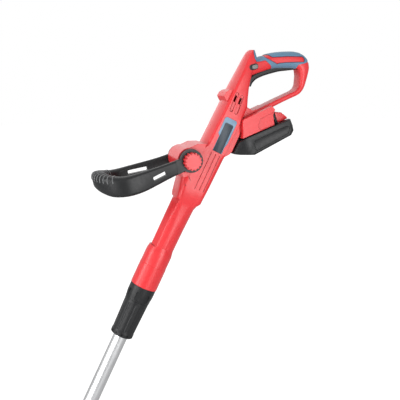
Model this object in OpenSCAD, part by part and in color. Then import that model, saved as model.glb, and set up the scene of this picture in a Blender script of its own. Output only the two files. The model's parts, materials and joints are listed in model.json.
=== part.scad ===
// Cordless string trimmer with a telescopic shaft, a tilting head and a swivelling loop handle.
// Row frame: +Z up, the tool works towards -X, its left side is -Y. The origin is the centre of the
// bump cap's flat foot, on the ground. The handle end is drawn in a shaft frame, whose z runs up the
// shaft from the housing's mouth and whose x points to the battery side.

/* [Shaft] */
// Lean of the shaft from upright, in degrees
shaft_lean = 26; // [20:1:32]
// Length from the housing's mouth to the head's tilt axis, with the tube drawn out
shaft_l = 510; // [440:10:600]
// Outside diameter of the telescopic tube
tube_d = 28; // [24:0.5:29]
// Wall of the telescopic tube
tube_wall = 1.2; // [0.8:0.1:2]
// How far the tube slides into the housing
telescope = 180; // [120:10:185]
// Length of tube that stays in the housing when drawn out
tube_hold = 60; // [45:1:62]

/* [Housing] */
// Outside diameter of the lower barrel
barrel_d = 53; // [52:0.5:56]
// Length of the lower barrel
barrel_l = 72; // [60:1:74]
// Width of the body over its flat sides
body_w = 58; // [56:0.5:60]
// Wall of the two shells
shell_wall = 2.8; // [2.2:0.2:3.2]
// Width of the D-handle
grip_w = 35; // [33:0.5:38]
// Thickness of the soft skin on the D-handle
skin = 0.9; // [0.6:0.1:1.4]
// Width of the battery dock
dock_w = 72; // [70:1:76]

/* [Twist lock] */
// Length of the fixed flared collar
collar_l = 30; // [24:1:34]
// Length of the twist-lock sleeve
sleeve_l = 75; // [65:1:90]
// Outside diameter of the sleeve at its lower rim
sleeve_d = 44; // [42:0.5:48]
// Flutes around the sleeve
flutes = 12; // [8:1:16]

/* [Loop handle] */
// Diameter of the red pivot drum
drum_d = 48; // [44:1:50]
// Length of the drum, between the loop handle's eyes
drum_w = 72; // [68:1:76]
// Diameter of the loop handle's eyes
eye_d = 43.6; // [40:0.2:46]
// Thickness of an eye
eye_t = 10.6; // [9:0.2:12]
// Diameter of the clamp bolt
bolt_d = 8; // [6:0.5:10]
// Lobes around the clamp knob
knob_lobes = 15; // [9:1:18]
// Reach of the loop from its pivot to the middle of its bow
loop_reach = 168; // [150:1:185]

/* [Battery] */
// Width of the battery pack
pack_w = 76; // [74:1:82]
// Depth of the pack's lower case
pack_h = 36; // [34:0.5:42]
// Diameter of one cell
cell_d = 18.4; // [17:0.1:18.6]
// Length of one cell
cell_l = 65; // [60:0.5:66]

/* [Head] */
// Height of the tilt axis over the ground
hinge_z = 160; // [156:1:175]
// Outside diameter of the motor cover
motor_d = 76; // [70:1:80]
// Diameter of the spool housing
spool_d = 84; // [78:1:90]
// Diameter of the cutting circle
cut_d = 250; // [240:5:270]
// Diameter of the tilt pin
tilt_pin_d = 8; // [6:0.5:10]
// Diameter of the plant guard's wire
wire_d = 4; // [3:0.5:5]

/* [Fits] */
// Radial clearance of a running fit
run_gap = 0.06; // [0.03:0.01:0.08]
// Gap between pieces that move past each other
move_gap = 0.5; // [0.4:0.05:0.7]

/* [Hidden] */

$fn = 64;

// shaft frame to row frame
hinge_x = 14;

module on_shaft() translate([hinge_x, 0, hinge_z]) rotate([0, shaft_lean, 0])
    translate([0, 0, shaft_l]) children();

// a flat outline drawn in x and z, given a width along y
module across(w) rotate([90, 0, 0]) linear_extrude(w, center = true) children();

// a flat outline drawn in x and z, from y0 to y1
module between(y0, y1) translate([0, y1, 0]) rotate([90, 0, 0]) linear_extrude(y1 - y0) children();

// a round bar along y
module bar(x, z, r, y0, y1) translate([x, y0, z]) rotate([-90, 0, 0]) cylinder(r = r, h = y1 - y0);

// ---- lofted forms ----

function arc_pts(cx, cy, r, a, n) = [for (i = [0 : n])
    [cx + r * cos(a + 90 * i / n), cy + r * sin(a + 90 * i / n)]];

// rounded rectangle from x0 to x1, half width hw, front and rear corner radii rf and rr
function ring_of(x0, x1, hw, rf, rr, n) = concat(
    arc_pts(x1 - rr, hw - rr, rr, 0, n), arc_pts(x0 + rf, hw - rf, rf, 90, n),
    arc_pts(x0 + rf, rf - hw, rf, 180, n), arc_pts(x1 - rr, rr - hw, rr, 270, n));

// the same ring with its front bulged out between the corners
function crowned(x0, x1, hw, rf, rr, bulge, n) = concat(
    arc_pts(x1 - rr, hw - rr, rr, 0, n), arc_pts(x0 + rf, hw - rf, rf, 90, n),
    [for (t = [0.6, 0.2, -0.2, -0.6]) [x0 - bulge * (1 - t * t), t * (hw - rf)]],
    arc_pts(x0 + rf, rf - hw, rf, 180, n), arc_pts(x1 - rr, rr - hw, rr, 270, n));

// a closed skin over rings that have the same number of points
module loft(rings) {
    n = len(rings[0]);
    m = len(rings);
    sides = [for (i = [0 : m - 2]) for (j = [0 : n - 1]) for (k = [0, 1])
        let (a = i * n + j, b = i * n + (j + 1) % n)
        k == 0 ? [a, a + n, b + n] : [a, b + n, b]];
    bottom = [for (j = [0 : n - 1]) j];
    top = [for (j = [n - 1 : -1 : 0]) (m - 1) * n + j];
    polyhedron(points = [for (r = rings) each r], faces = concat([bottom], sides, [top]));
}

// smooth curve through rows of numbers, with n steps a span
function smooth_at(p, i, t) =
    let (a = p[max(i - 1, 0)], b = p[i], c = p[i + 1], d = p[min(i + 2, len(p) - 1)])
    0.5 * ((2 * b) + (c - a) * t + (2 * a - 5 * b + 4 * c - d) * t * t + (3 * b - a - 3 * c + d) * t * t * t);
function smooth(p, n) = concat(
    [for (i = [0 : len(p) - 2]) for (k = [0 : n - 1]) smooth_at(p, i, k / n)],
    [p[len(p) - 1]]);

// a band swept along rows of [x, z, thickness, half width, corner radius] in the x-z plane
function band_rings(rows, grow, n) = [for (i = [0 : len(rows) - 1])
    let (a = rows[max(i - 1, 0)], b = rows[min(i + 1, len(rows) - 1)], r = rows[i],
        d = norm([b[0] - a[0], b[1] - a[1]]), tx = (b[0] - a[0]) / d, tz = (b[1] - a[1]) / d)
    [for (p = ring_of(-r[2] / 2 - grow, r[2] / 2 + grow, r[3] + grow, r[4] + grow, r[4] + grow, n))
        [r[0] + p[0] * tz, p[1], r[1] - p[0] * tx]]];

// one edge of a band as points in x and z, each moved out by its own share of grow
function band_edge(rows, side, grow) = [for (i = [0 : len(rows) - 1])
    let (a = rows[max(i - 1, 0)], b = rows[min(i + 1, len(rows) - 1)], r = rows[i],
        d = norm([b[0] - a[0], b[1] - a[1]]), tx = (b[0] - a[0]) / d, tz = (b[1] - a[1]) / d)
    [r[0] - side * (r[2] / 2 + grow[i]) * tz, r[1] + side * (r[2] / 2 + grow[i]) * tx]];
function reversed(p) = [for (i = [len(p) - 1 : -1 : 0]) p[i]];

// ---- housing ----

body_hw = body_w / 2;
neck_r = barrel_d / 2 - 2.6;
grip_hw = grip_w / 2;
pivot_x = -32;
pivot_z = 258.5;
drum_r = drum_d / 2;
drum_hw = drum_w / 2;
tube_r = tube_d / 2;
bore_r = tube_r + move_gap;
bore_top = telescope + tube_hold + 6;
dock_hw = dock_w / 2;
dock_x = 50.2;
dock_z = 340.3;
dock_angle = 47.2;
badge_depth = 2;

// how far the front face bulges between its corners
crown = 2.6;
// rows of [z, front x, rear x, half width, front corner, rear corner, crown]
body_rows = [
    [barrel_l + 12, -neck_r, neck_r, neck_r, neck_r - 0.3, neck_r - 0.3, 0],
    [130, -neck_r, neck_r + 0.2, neck_r, neck_r - 2, neck_r - 2, 0],
    [174, -neck_r, neck_r + 1.1, neck_r + 0.7, neck_r - 5, neck_r - 4, 0],
    [182.5, -19.5, 25.6, 25.8, 11, 14, 0],
    [190, -21.4, 28.6, body_hw - 0.5, 9, 9, 0],
    [214, -26.4, 29.4, body_hw, 11, 8, 0],
    [228, -28.6, 30, body_hw, 12, 8, 0],
    [283, -27, 31.4, body_hw, 10, 8, 0.6],
    [291.5, -19.5, 31.6, body_hw, 7, 7, 1.4],
    [300.5, -11.8, 38.4, body_hw, 5, 6, crown],
    [308, -11.6, 40.8, body_hw, 5, 6, crown],
    [345, -10.2, 40.6, body_hw, 5, 6, crown],
    [374, -9.2, 32, body_hw, 5, 6, crown],
    [396, -8.6, 30.8, body_hw - 0.4, 5, 6, crown],
    [412, -8.2, 24.4, body_hw - 1.1, 5, 6, crown],
    [428, -7.6, 18.9, body_hw - 1.8, 5, 6, crown],
    [442, -6.9, 15.2, body_hw - 2.8, 5, 6, crown],
    [456, -6.3, 13, body_hw - 4.2, 5, 6, crown],
    [473, -6.1, 13.4, grip_hw + 4.4, 5, 6, crown],
    [485, -5.8, 12, grip_hw + 2.6, 5, 6, crown],
    [493, -4.9, 4.2, grip_hw, 3, 4, 2],
    [497.6, -3.4, -0.2, grip_hw - 4, 1, 1, 1]];

// centre line of the D-handle: grip, rear leg and lower leg
handle_rows = smooth([
    [4, 462, 28, grip_hw + 3, 9],
    [22.3, 478.9, 26.2, grip_hw + 1.5, 9],
    [42.5, 497.8, 28.2, grip_hw, 10],
    [65.7, 511.5, 30.2, grip_hw, 11],
    [89.2, 521.4, 30.8, grip_hw, 11],
    [105, 518.2, 25.5, grip_hw, 8],
    [112.5, 505.5, 17.5, grip_hw, 6],
    [116.6, 493, 13.5, grip_hw, 5],
    [119.3, 480.5, 10.5, grip_hw, 4.5],
    [116.3, 468, 9.6, grip_hw, 4],
    [104.5, 453.8, 9.2, grip_hw, 4],
    [92, 439.3, 9.2, grip_hw, 4],
    [71, 414, 10, grip_hw + 0.5, 4.5],
    [53, 392, 12, grip_hw + 2, 4.5]], 3);

module on_dock() translate([dock_x, 0, dock_z]) rotate([0, -dock_angle, 0]) children();

// the body set in by a wall, from one row to another
module body_loft(wall, n, first = 0, last = len(body_rows) - 1) loft([for (i = [first : last])
    let (r = body_rows[i], front = max(r[4] - wall, 1), rear = max(r[5] - wall, 1))
    [for (p = crowned(r[1] + wall, r[2] - wall, r[3] - wall, front, rear, r[6], n))
        [p[0], p[1], r[0] - (i == last ? wall : 0)]]]);

module barrel() rotate_extrude() polygon([[0, 0], [barrel_d / 2 - 0.8, 0], [barrel_d / 2, 0.8],
    [barrel_d / 2, barrel_l - 27], [barrel_d / 2 - 0.5, barrel_l - 26.5], [barrel_d / 2 - 0.5, barrel_l],
    [neck_r, barrel_l + 12], [neck_r, barrel_l + 13], [0, barrel_l + 13]]);

// the raised cheek that carries the drum into the body's flat side
module cheek() across(drum_w - 3) polygon([[pivot_x - 12, pivot_z + 20], [pivot_x - 6, pivot_z + 26],
    [pivot_x, pivot_z + 33.5], [-15.3, 300], [-14.8, 277], [-11, 262], [-13, 246], [-22, 232], [-28, 224],
    [pivot_x - 14, pivot_z - 20]]);

dock_top = 36;
module dock_solid() on_dock() difference() {
    across(dock_w) polygon([[-5, 2], [64, 2], [67.9, 20.3], [74.5, 28.6], [71.5, dock_top + 0.8],
        [9, dock_top - 1.2], [6.1, dock_top - 3.4], [-1.5, 9]]);
    for (s = [-1, 1]) translate([0, s * dock_hw, 0]) across(2.4)
        polygon([[36, 19], [41, 23.5], [80, 25.6], [80, 3], [33.5, 3], [31.5, 10.5]]);
}

stop_hw = 21;
// the small hand stop across the front, with its lip turned down
module hand_stop() across(2 * stop_hw) polygon([[-6, 387], [-12, 389.5], [-18.6, 394.4], [-19.4, 396],
    [-19, 403], [-15, 409.5], [-8, 415]]);

// how far the flats beside the dock are set in from the body's sides
step_in = 4.5;
step_x = 28.4;
module side_steps(wall) for (s = [-1, 1]) translate([0, s * (body_hw - step_in - wall + 10), 0])
    across(20) polygon([[step_x - wall, 296 - wall], [step_x + 5, 288 - wall], [60, 288 - wall], [60, 380],
        [step_x + 1.6 - wall, 373]]);

module housing_form() union() {
    barrel();
    difference() {
        body_loft(0, 5);
        side_steps(0);
    }
    bar(pivot_x, pivot_z, drum_r, -drum_hw, drum_hw);
    cheek();
    hand_stop();
    dock_solid();
    loft(band_rings(handle_rows, 0, 4));
}

// lower web that ties the D-handle's front corner to the dock
module web() across(grip_w) polygon([[22, 360], [22, 397.5], [31, 396.8], [45.5, 395.8], [52, 401],
    [60, 401.5], [52, 380]]);

// case screws as [x, z, depth of the head's seat from the middle]
screw_at = [[17.8, 96, 12], [17.8, 150, 12], [21.4, 204, 18], [24.6, 288, 18], [-4.6, 330, 18],
    [-3.6, 372, 18], [0, 436, 14], [56, 391.5, 14], [47.2, 510.6, 10], [112.4, 505.5, 10]];
screw_r = 1.9;
screw_head_r = 3.5;
screw_head_h = 2.4;
screw_well_r = screw_head_r + 0.3;
// key size of the screws' sockets
screw_key = 2.6;

module screw_bosses() for (s = screw_at) bar(s[0], s[1], screw_r + 2.6, -30, 30);

// room inside: around the tube, through the body, in the drum and in the dock
module housing_room() difference() {
    union() {
        difference() {
            body_loft(shell_wall, 2);
            side_steps(shell_wall);
            translate([-60, -60, 0]) cube([120, 120, barrel_l + 18]);
            translate([-60, -60, 458]) cube([120, 120, 60]);
            for (z = [120, 160, 204, bore_top]) translate([-60, -60, z]) cube([120, 120, 3.2]);
        }
        bar(pivot_x, pivot_z, drum_r - shell_wall, -drum_hw + shell_wall, drum_hw - shell_wall);
    }
    bar(pivot_x, pivot_z, bolt_d / 2 + 4, -40, 40);
    screw_bosses();
    neck_flats(flat_depth + shell_wall);
    // walls between the body's room and the dock's channel
    translate([45.5 - shell_wall, -60, 296]) cube([20, 120, 110]);
    on_dock() translate([2 - shell_wall, -60, -12]) cube([90, 120, 12 + tower_top + shell_wall]);
}

trigger_hw = 9.5;
trigger_rows = smooth([
    [23.5, 435, 5, trigger_hw, 2.2],
    [20.6, 445, 11.5, trigger_hw, 3],
    [24.6, 455.6, 11.5, trigger_hw, 3],
    [31.2, 463.8, 11, trigger_hw, 3],
    [39.4, 472.6, 11.5, trigger_hw, 3],
    [59.6, 490.8, 13, trigger_hw, 3],
    [75.8, 501.2, 13, trigger_hw, 3],
    [91, 509.4, 10.6, trigger_hw, 3]], 3);
trigger_n = len(trigger_rows);
trigger_pin_x = 95;
trigger_pin_z = 514;
trigger_pin_d = 4;

pin_hw = 12;

switch_l = 22;
switch_hw = 7.5;
switch_low = -0.2;
switch_top = 8.6;
module on_switch() translate([56, 0, 502]) rotate([0, -32, 0]) children();

module trigger_form(grow) union() {
    loft(band_rings(trigger_rows, grow, 3));
    bar(trigger_pin_x, trigger_pin_z, trigger_pin_d / 2 + 2.6 + grow, -6 - grow, 6 + grow);
}

// the room that the trigger swings in, open towards the fingers
trigger_travel = 10.2;
module trigger_room() across(2 * (trigger_hw + move_gap)) union() {
    polygon(concat(
        band_edge(trigger_rows, -1, [for (i = [1 : trigger_n]) 4]),
        reversed(band_edge(trigger_rows, 1, [for (i = [0 : trigger_n - 1])
            move_gap + 1.6 + trigger_travel * (1 - i / trigger_n)]))));
    translate([trigger_pin_x, trigger_pin_z]) circle(r = trigger_pin_d / 2 + 4.4 + move_gap);
}

lock_x = 11.6;
lock_z = 470;
lock_l = 12;
lock_h = 7.5;
lock_angle = 38;
// outward end of the button, and floor of the oval recess round it
lock_hw = 22.6;
recess_hw = 19.4;

module stadium(l, h) union() {
    square([l - h, h], center = true);
    for (s = [-1, 1]) translate([s * (l - h) / 2, 0]) circle(d = h);
}

module lock_shape(grow, w) translate([lock_x, 0, lock_z]) rotate([0, -lock_angle, 0])
    across(w) stadium(lock_l + 2 * grow, lock_h + 2 * grow);
module lock_recess() for (s = [-1, 1]) translate([lock_x - 1.8, s * (recess_hw + 5), lock_z - 1.2])
    rotate([0, -lock_angle, 0]) across(10) stadium(19.5, 11);

// ends of the long grooves below the badge, and of the badge
groove_z0 = 214;
groove_z1 = 290;
badge_z0 = 294;
badge_z1 = 362;

module badge_outline() polygon([[-2, badge_z0 + 34], [-2, badge_z1 - 3], [1, badge_z1], [21, badge_z1],
    [24, badge_z1 - 3], [24, badge_z0 + 22], [21.5, badge_z0 + 14], [21.5, badge_z0], [2, badge_z0],
    [2, badge_z0 + 30]]);
module plate_outline() polygon([[2.6, badge_z0], [2.6, badge_z0 + 56], [4.4, badge_z0 + 58],
    [18, badge_z0 + 58], [20.4, badge_z0 + 55.6], [20.4, badge_z0]]);

// rows of [x, low end, high end] for the two tracks on each flat side above the badge
tracks = [[1.6, 373.5, 411], [12.4, 373, 411]];
track_w = 6.4;
track_depth = 1.1;
track_lean = 4;
vent_z = 399;
vent_size = [4.2, 8, 12];
groove_w = 1.3;
groove_x = [1.8, 11.4, 20.2];
// rows of [x, z, length] for the two slanted notches on each cheek
notches = [[-22, 217, 15], [-17, 228.4, 11]];
notch_w = 1.4;
notch_lean = 41;
module side_slots() for (s = [-1, 1]) {
    for (v = tracks) {
        translate([v[0], s * (body_hw - 0.4), (v[1] + v[2]) / 2]) rotate([0, -track_lean, 0])
            across(2 * track_depth) rotate(90) stadium(v[2] - v[1], track_w);
        translate([v[0] - 1.2, s * body_hw, vent_z]) rotate([0, -track_lean, 0])
            cube(vent_size, center = true);
    }
    for (x = groove_x) translate([x, s * body_hw, (groove_z0 + groove_z1) / 2])
        cube([groove_w, 2, groove_z1 - groove_z0], center = true);
    translate([0, s * (drum_w - 3) / 2, 0]) for (v = notches)
        translate([v[0], 0, v[1]]) rotate([0, notch_lean, 0]) cube([v[2], 14, notch_w], center = true);
}

// how deep the two flats down the neck's front are set in from the round, and where they face
flat_depth = 3;
flat_turn = 163;
flat_z1 = 184;
module neck_flats(depth) for (s = [-1, 1]) rotate([0, 0, s * flat_turn])
    translate([neck_r - depth, -20, barrel_l + 10]) cube([20, 40, flat_z1 - 10 - barrel_l]);

tower_hw = 26;
rail_hw = 22;
rail_z = 9;
rail_h = 6;
tower_top = 22;
tower_p0 = 11;

module tower_outline(gap) union() {
    translate([0, rail_z / 2]) square([2 * rail_hw + 2 * gap, rail_z + 10], center = true);
    translate([-tower_hw - gap, rail_z - gap]) square([2 * tower_hw + 2 * gap, rail_h + 2 * gap]);
    translate([-rail_hw - gap, rail_z]) square([2 * rail_hw + 2 * gap, tower_top - rail_z + gap]);
}

// the dock's channel, open to the rear and to below
module dock_channel() on_dock() translate([2, 0, 0]) rotate([90, 0, 90]) linear_extrude(80)
    tower_outline(move_gap);

collar_seat_r = tube_r + 6;
collar_seat_l = 18;

module housing_cuts() {
    translate([0, 0, -1]) cylinder(r = bore_r, h = bore_top + 1);
    translate([0, 0, -1]) cylinder(r = collar_seat_r, h = collar_seat_l + 1);
    bar(pivot_x, pivot_z, bolt_d / 2 + 0.1, -45, 45);
    trigger_room();
    bar(trigger_pin_x, trigger_pin_z, trigger_pin_d / 2, -pin_hw, pin_hw);
    lock_shape(move_gap, 80);
    lock_recess();
    side_slots();
    neck_flats(flat_depth);
    dock_channel();
    for (s = screw_at) {
        bar(s[0], s[1], screw_r + 0.1, -s[2] + 2, s[2] + 1);
        bar(s[0], s[1], screw_well_r, s[2], 60);
    }
    // switch bay over the trigger
    on_switch() translate([-switch_l / 2, -switch_hw, -14]) cube([switch_l, 2 * switch_hw, 14 + switch_top]);
}

module housing_half(s) intersection() {
    difference() {
        union() {
            housing_form();
            web();
        }
        housing_room();
        housing_cuts();
        translate([0, -body_hw, 0]) across(2 * badge_depth) badge_outline();
    }
    translate([-100, s < 0 ? -80 : 0, -5]) cube([260, 80, 560]);
}

module left_housing() color("#d8383c") on_shaft() housing_half(-1);
module right_housing() color("#d8383c") on_shaft() housing_half(1);

// the soft skin: it wraps the grip from the saddle to the rear corner, round a hard panel left bare
module skin_area() difference() {
    polygon([[-1.2, 504], [-1.4, 493.4], [5.1, 483.5], [11.2, 480.2], [17.3, 483.7], [23.4, 488.7],
        [27, 490.8], [41.4, 487.4], [48, 482], [93, 506], [92.1, 514.2], [104.4, 524], [106.5, 527],
        [112, 545], [60, 550]]);
    polygon([[4, 516], [17.1, 499.2], [24.4, 495.5], [51.8, 495.4], [54.5, 498.4], [66.5, 506],
        [100.6, 524.2], [98.6, 530], [93.5, 532.3], [66, 519], [36.7, 502.5], [26, 503.6], [20, 520]]);
}

module grip_skin(s) intersection() {
    difference() {
        union() {
            loft(band_rings([for (i = [2 : 18]) handle_rows[i]], skin, 4));
            body_loft(-skin, 5, len(body_rows) - 5);
        }
        loft(band_rings([for (i = [0 : 20]) handle_rows[i]], 0, 4));
        body_loft(0, 5);
        trigger_room();
        for (p = screw_at) bar(p[0], p[1], screw_well_r, p[2], 60);
    }
    across(60) skin_area();
    translate([-20, s < 0 ? -60 : 0, 440]) cube([180, 60, 120]);
}

module grip_skin_left() color("#5f829c") on_shaft() grip_skin(-1);
module grip_skin_right() color("#5f829c") on_shaft() grip_skin(1);

module badge_frame() color("#6f93ad") on_shaft() difference() {
    between(-body_hw - 0.4, -body_hw + badge_depth) badge_outline();
    between(-body_hw - 1, -body_hw + 1) plate_outline();
}
module badge_plate() color("#4a545c") on_shaft() between(-body_hw, -body_hw + 1) plate_outline();

module housing_screws() color("silver") on_shaft() for (s = screw_at) {
    bar(s[0], s[1], screw_r, -s[2] + 3, s[2] + 0.5);
    difference() {
        bar(s[0], s[1], screw_head_r, s[2], s[2] + screw_head_h);
        translate([s[0], s[2] + screw_head_h, s[1]]) rotate([90, 0, 0])
            cylinder(d = screw_key, h = 2.8, center = true, $fn = 6);
    }
}

// ---- twist lock ----

flare_r = barrel_d / 2 - 0.7;
waist_r = sleeve_d / 2 + 2.2;

module collar_base() color("#3a3b3d") on_shaft() difference() {
    union() {
        rotate_extrude() polygon([[bore_r, 0], [flare_r, 0], [flare_r, -collar_l * 0.55],
            [waist_r, -collar_l], [bore_r, -collar_l]]);
        cylinder(r = collar_seat_r - 0.1, h = collar_seat_l);
    }
    translate([0, 0, -collar_l - 1]) cylinder(r = bore_r, h = collar_l + collar_seat_l + 2);
    translate([0, 0, -collar_l - 1]) cylinder(r = tube_r + 5.2, h = collar_l - 8);
    for (i = [0 : 7]) rotate([0, 0, 22.5 + 45 * i]) translate([flare_r - 2.2, -4.5, -collar_l + 3])
        cube([10, 9, collar_l * 0.55]);
}

// the collet's fingers close on the tube when the sleeve is turned
module split_collet() color("#b8b9b4") on_shaft() difference() {
    union() {
        translate([0, 0, -collar_l - sleeve_l + 8]) cylinder(r = tube_r + 4, h = sleeve_l + 13);
        translate([0, 0, -collar_l - sleeve_l + 8]) cylinder(r1 = tube_r + 3, r2 = tube_r + 4.7, h = 10);
        translate([0, 0, -14]) cylinder(r = tube_r + 5.1, h = 5);
    }
    translate([0, 0, -200]) cylinder(r = tube_r + run_gap, h = 220);
    for (i = [0 : 1]) rotate([0, 0, 90 * i]) translate([-40, -1.2, -collar_l - sleeve_l]) cube([80, 2.4, 45]);
}

flute_r = 4.2;
flute_lean = 1.6;
module twist_sleeve() color("#3a3b3d") on_shaft() difference() {
    union() {
        translate([0, 0, -collar_l - sleeve_l]) rotate_extrude() polygon([[0, 1.2], [sleeve_d / 2 - 1.2, 0],
            [sleeve_d / 2 + 0.4, 1.2], [sleeve_d / 2 + 0.6, 8], [sleeve_d / 2, 10],
            [waist_r - 0.3, sleeve_l - 0.4], [0, sleeve_l - 0.4]]);
    }
    translate([0, 0, -collar_l - sleeve_l - 1]) cylinder(r = tube_r + move_gap, h = sleeve_l + 2);
    translate([0, 0, -collar_l - sleeve_l + 5]) cylinder(r = tube_r + 5.2 + move_gap / 2, h = sleeve_l);
    for (i = [0 : flutes - 1]) rotate([0, 0, 360 * (i + 0.5) / flutes]) {
        translate([sleeve_d / 2 + 3.4, 0, -collar_l - sleeve_l + 12]) rotate([0, flute_lean, 0])
            cylinder(r = flute_r, h = sleeve_l - 18);
        translate([sleeve_d / 2 - 1, -1.6, -collar_l - sleeve_l + 3.5]) cube([4, 3.2, 4]);
    }
}

// ---- inside the handle ----

// the four contacts, each in its own slot
contact_y = [-14, -5, 5, 14];
module dock_terminals() color("#2b2b2b") on_shaft() on_dock() {
    translate([2, -rail_hw, rail_z - 6]) cube([tower_p0 - 2.8, 2 * rail_hw, tower_top - rail_z + 5]);
    for (y = contact_y) translate([tower_p0 - 1, y - 0.5, rail_z]) cube([12, 1, 6]);
}

module control_board() color("#2c6b46") on_shaft() {
    translate([8, shell_wall - body_hw, 302]) cube([1.6, 2 * (body_hw - shell_wall), 42]);
    for (z = [306, 320]) translate([9.6, -14, z]) cube([12, 14, 9]);
    translate([9.6, 5, 308]) cube([5, 10, 30]);
}

module trigger_switch() color("#222222") on_shaft() on_switch() difference() {
    translate([-switch_l / 2, -switch_hw, switch_low])
        cube([switch_l, 2 * switch_hw, switch_top - switch_low]);
    for (x = [-7.5, 7.5]) translate([x, 0, switch_low + 3]) rotate([90, 0, 0])
        cylinder(r = 1.4, h = 40, center = true);
}

module trigger() color("#3c3d40") on_shaft() difference() {
    trigger_form(0);
    bar(trigger_pin_x, trigger_pin_z, trigger_pin_d / 2 + run_gap, -12, 12);
}

module trigger_pin() color("silver") on_shaft()
    bar(trigger_pin_x, trigger_pin_z, trigger_pin_d / 2, -pin_hw, pin_hw);

module lock_off_button() color("#77797a") on_shaft() lock_shape(0, 2 * lock_hw);

// ---- loop handle ----

loop_angle = 142.2;
eye_r = eye_d / 2;
eye_y = drum_hw + move_gap;
arm_v = eye_y + eye_t / 2;

// the loop's frame: x along the arms, y towards the near side, z away from the ground
module on_loop() translate([pivot_x, 0, pivot_z]) rotate([0, loop_angle, 0]) rotate([180, 0, 0]) children();

// half of the loop as rows of [reach, side, lift, thickness, height]; the other half mirrors it
loop_half = [
    [6, arm_v, -2, eye_t - 0.4, 26],
    [40, arm_v + 2.5, -6.8, eye_t - 0.8, 27],
    [74, arm_v + 7, -11.2, eye_t, 32],
    [101, arm_v + 10, -14.2, eye_t + 2, 36],
    [loop_reach - 40, arm_v + 9, -14.8, eye_t + 6, 37],
    [loop_reach - 17, arm_v - 3, -10.8, eye_t + 10, 38],
    [loop_reach - 4, arm_v - 22, -4, eye_t + 12, 35]];
loop_rows = smooth(concat(loop_half, [[loop_reach, 0, 0, eye_t + 12.4, 32]],
    [for (i = [len(loop_half) - 1 : -1 : 0]) let (r = loop_half[i]) [r[0], -r[1], r[2], r[3], r[4]]]), 3);

function loop_rings(first, last, grow, n) = [for (i = [first : last])
    let (a = loop_rows[max(i - 1, 0)], b = loop_rows[min(i + 1, len(loop_rows) - 1)], r = loop_rows[i],
        d = norm([b[0] - a[0], b[1] - a[1]]), tx = (b[0] - a[0]) / d, ty = (b[1] - a[1]) / d,
        c = min(r[3], r[4]) / 2 * 0.8 + grow)
    [for (p = ring_of(-r[4] / 2 - grow, r[4] / 2 + grow, r[3] / 2 + grow, c, c, n))
        [r[0] + p[1] * ty, r[1] - p[1] * tx, r[2] + p[0]]]];

slot_w = 8;
// each arm's slot as [first reach, last reach, lift, turn]
near_slot = [52, 78, -11.4, -11];
far_slot = [67, 106, -8.6, 1];

module arm_slot(s, v) translate([(v[0] + v[1]) / 2, s * (arm_v + 6), v[2]])
    rotate([90, 0, 0]) linear_extrude(60, center = true) rotate(v[3]) union() {
        square([v[1] - v[0] - 4, slot_w], center = true);
        square([v[1] - v[0], slot_w - 4], center = true);
        for (a = [-1, 1], b = [-1, 1]) translate([a * ((v[1] - v[0]) / 2 - 2), b * (slot_w / 2 - 2)])
            circle(r = 2);
    }

grip_first = 14;
grip_last = 28;
module loop_handle() color("#3b3c3e") on_shaft() on_loop() difference() {
    union() {
        loft(loop_rings(0, len(loop_rows) - 1, 0, 4));
        for (s = [-1, 1]) translate([0, s * arm_v, 0]) rotate([90, 0, 0])
            cylinder(r = eye_r, h = eye_t, center = true);
    }
    rotate([90, 0, 0]) cylinder(r = bolt_d / 2 + run_gap, h = 200, center = true);
    arm_slot(1, near_slot);
    arm_slot(-1, far_slot);
    translate([0, -200 - eye_y, -40]) cube([30, 200 - eye_t, 80]);
    translate([0, eye_y + eye_t, -40]) cube([30, 200, 80]);
    // clear of the drum
    rotate([90, 0, 0]) cylinder(r = drum_r + 2, h = 2 * eye_y, center = true);
}

grip_ribs = 7;
module loop_grip() color("#333436") on_shaft() on_loop() difference() {
    intersection() {
        loft(loop_rings(grip_first, grip_last, 1.2, 4));
        translate([loop_reach - 32, -45, 6]) cube([60, 90, 30]);
    }
    loft(loop_rings(grip_first - 1, grip_last + 1, 0, 4));
    for (i = [0 : grip_ribs - 1]) rotate([0, 0, 24 - 48 * i / (grip_ribs - 1)])
        translate([loop_reach - 30, -1.1, 12]) cube([60, 2.2, 30]);
}

bolt_head_h = 5;
knob_t = 12.6;
knob_y = eye_y + eye_t;
module clamp_bolt() color("silver") on_shaft() {
    bar(pivot_x, pivot_z, bolt_d / 2, -knob_y - 9, knob_y + 0.5);
    bar(pivot_x, pivot_z, bolt_d * 0.9, knob_y + 0.4, knob_y + 0.4 + bolt_head_h);
}

knob_r = eye_r * 0.77;
lobe_r = 2.1;
// along the clamp bolt, towards the near side
module on_pivot() on_shaft() translate([pivot_x, 0, pivot_z]) rotate([90, 0, 0]) children();

module clamp_knob() color("#d8383c") on_pivot() difference() {
    union() {
        translate([0, 0, knob_y + move_gap]) linear_extrude(knob_t - 2) knob_outline(knob_r);
        translate([0, 0, knob_y + move_gap]) linear_extrude(knob_t) knob_outline(knob_r - 1.6);
    }
    translate([0, 0, knob_y - 1]) cylinder(r = bolt_d / 2 + 2.5, h = 11.2);
}
module knob_outline(r) union() {
    circle(r = r - 1.7);
    for (i = [0 : knob_lobes - 1]) rotate(360 * i / knob_lobes) translate([r - lobe_r, 0])
        circle(r = lobe_r, $fn = 24);
}

module knob_insert() color("gold") on_pivot() difference() {
    translate([0, 0, knob_y + move_gap]) cylinder(r = bolt_d / 2 + 2.4, h = 9.4);
    translate([0, 0, knob_y]) cylinder(r = bolt_d / 2 + run_gap, h = 20);
}

// ---- shaft ----

yoke_reach = 24;
socket_l = 52;
tube_seat = yoke_reach + 6;

module telescopic_tube() color("#d9dadb") on_shaft() difference() {
    translate([0, 0, -shaft_l + tube_seat]) cylinder(r = tube_r, h = shaft_l - tube_seat + tube_hold);
    translate([0, 0, -shaft_l]) cylinder(r = tube_r - tube_wall, h = shaft_l + tube_hold + 1);
}

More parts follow.
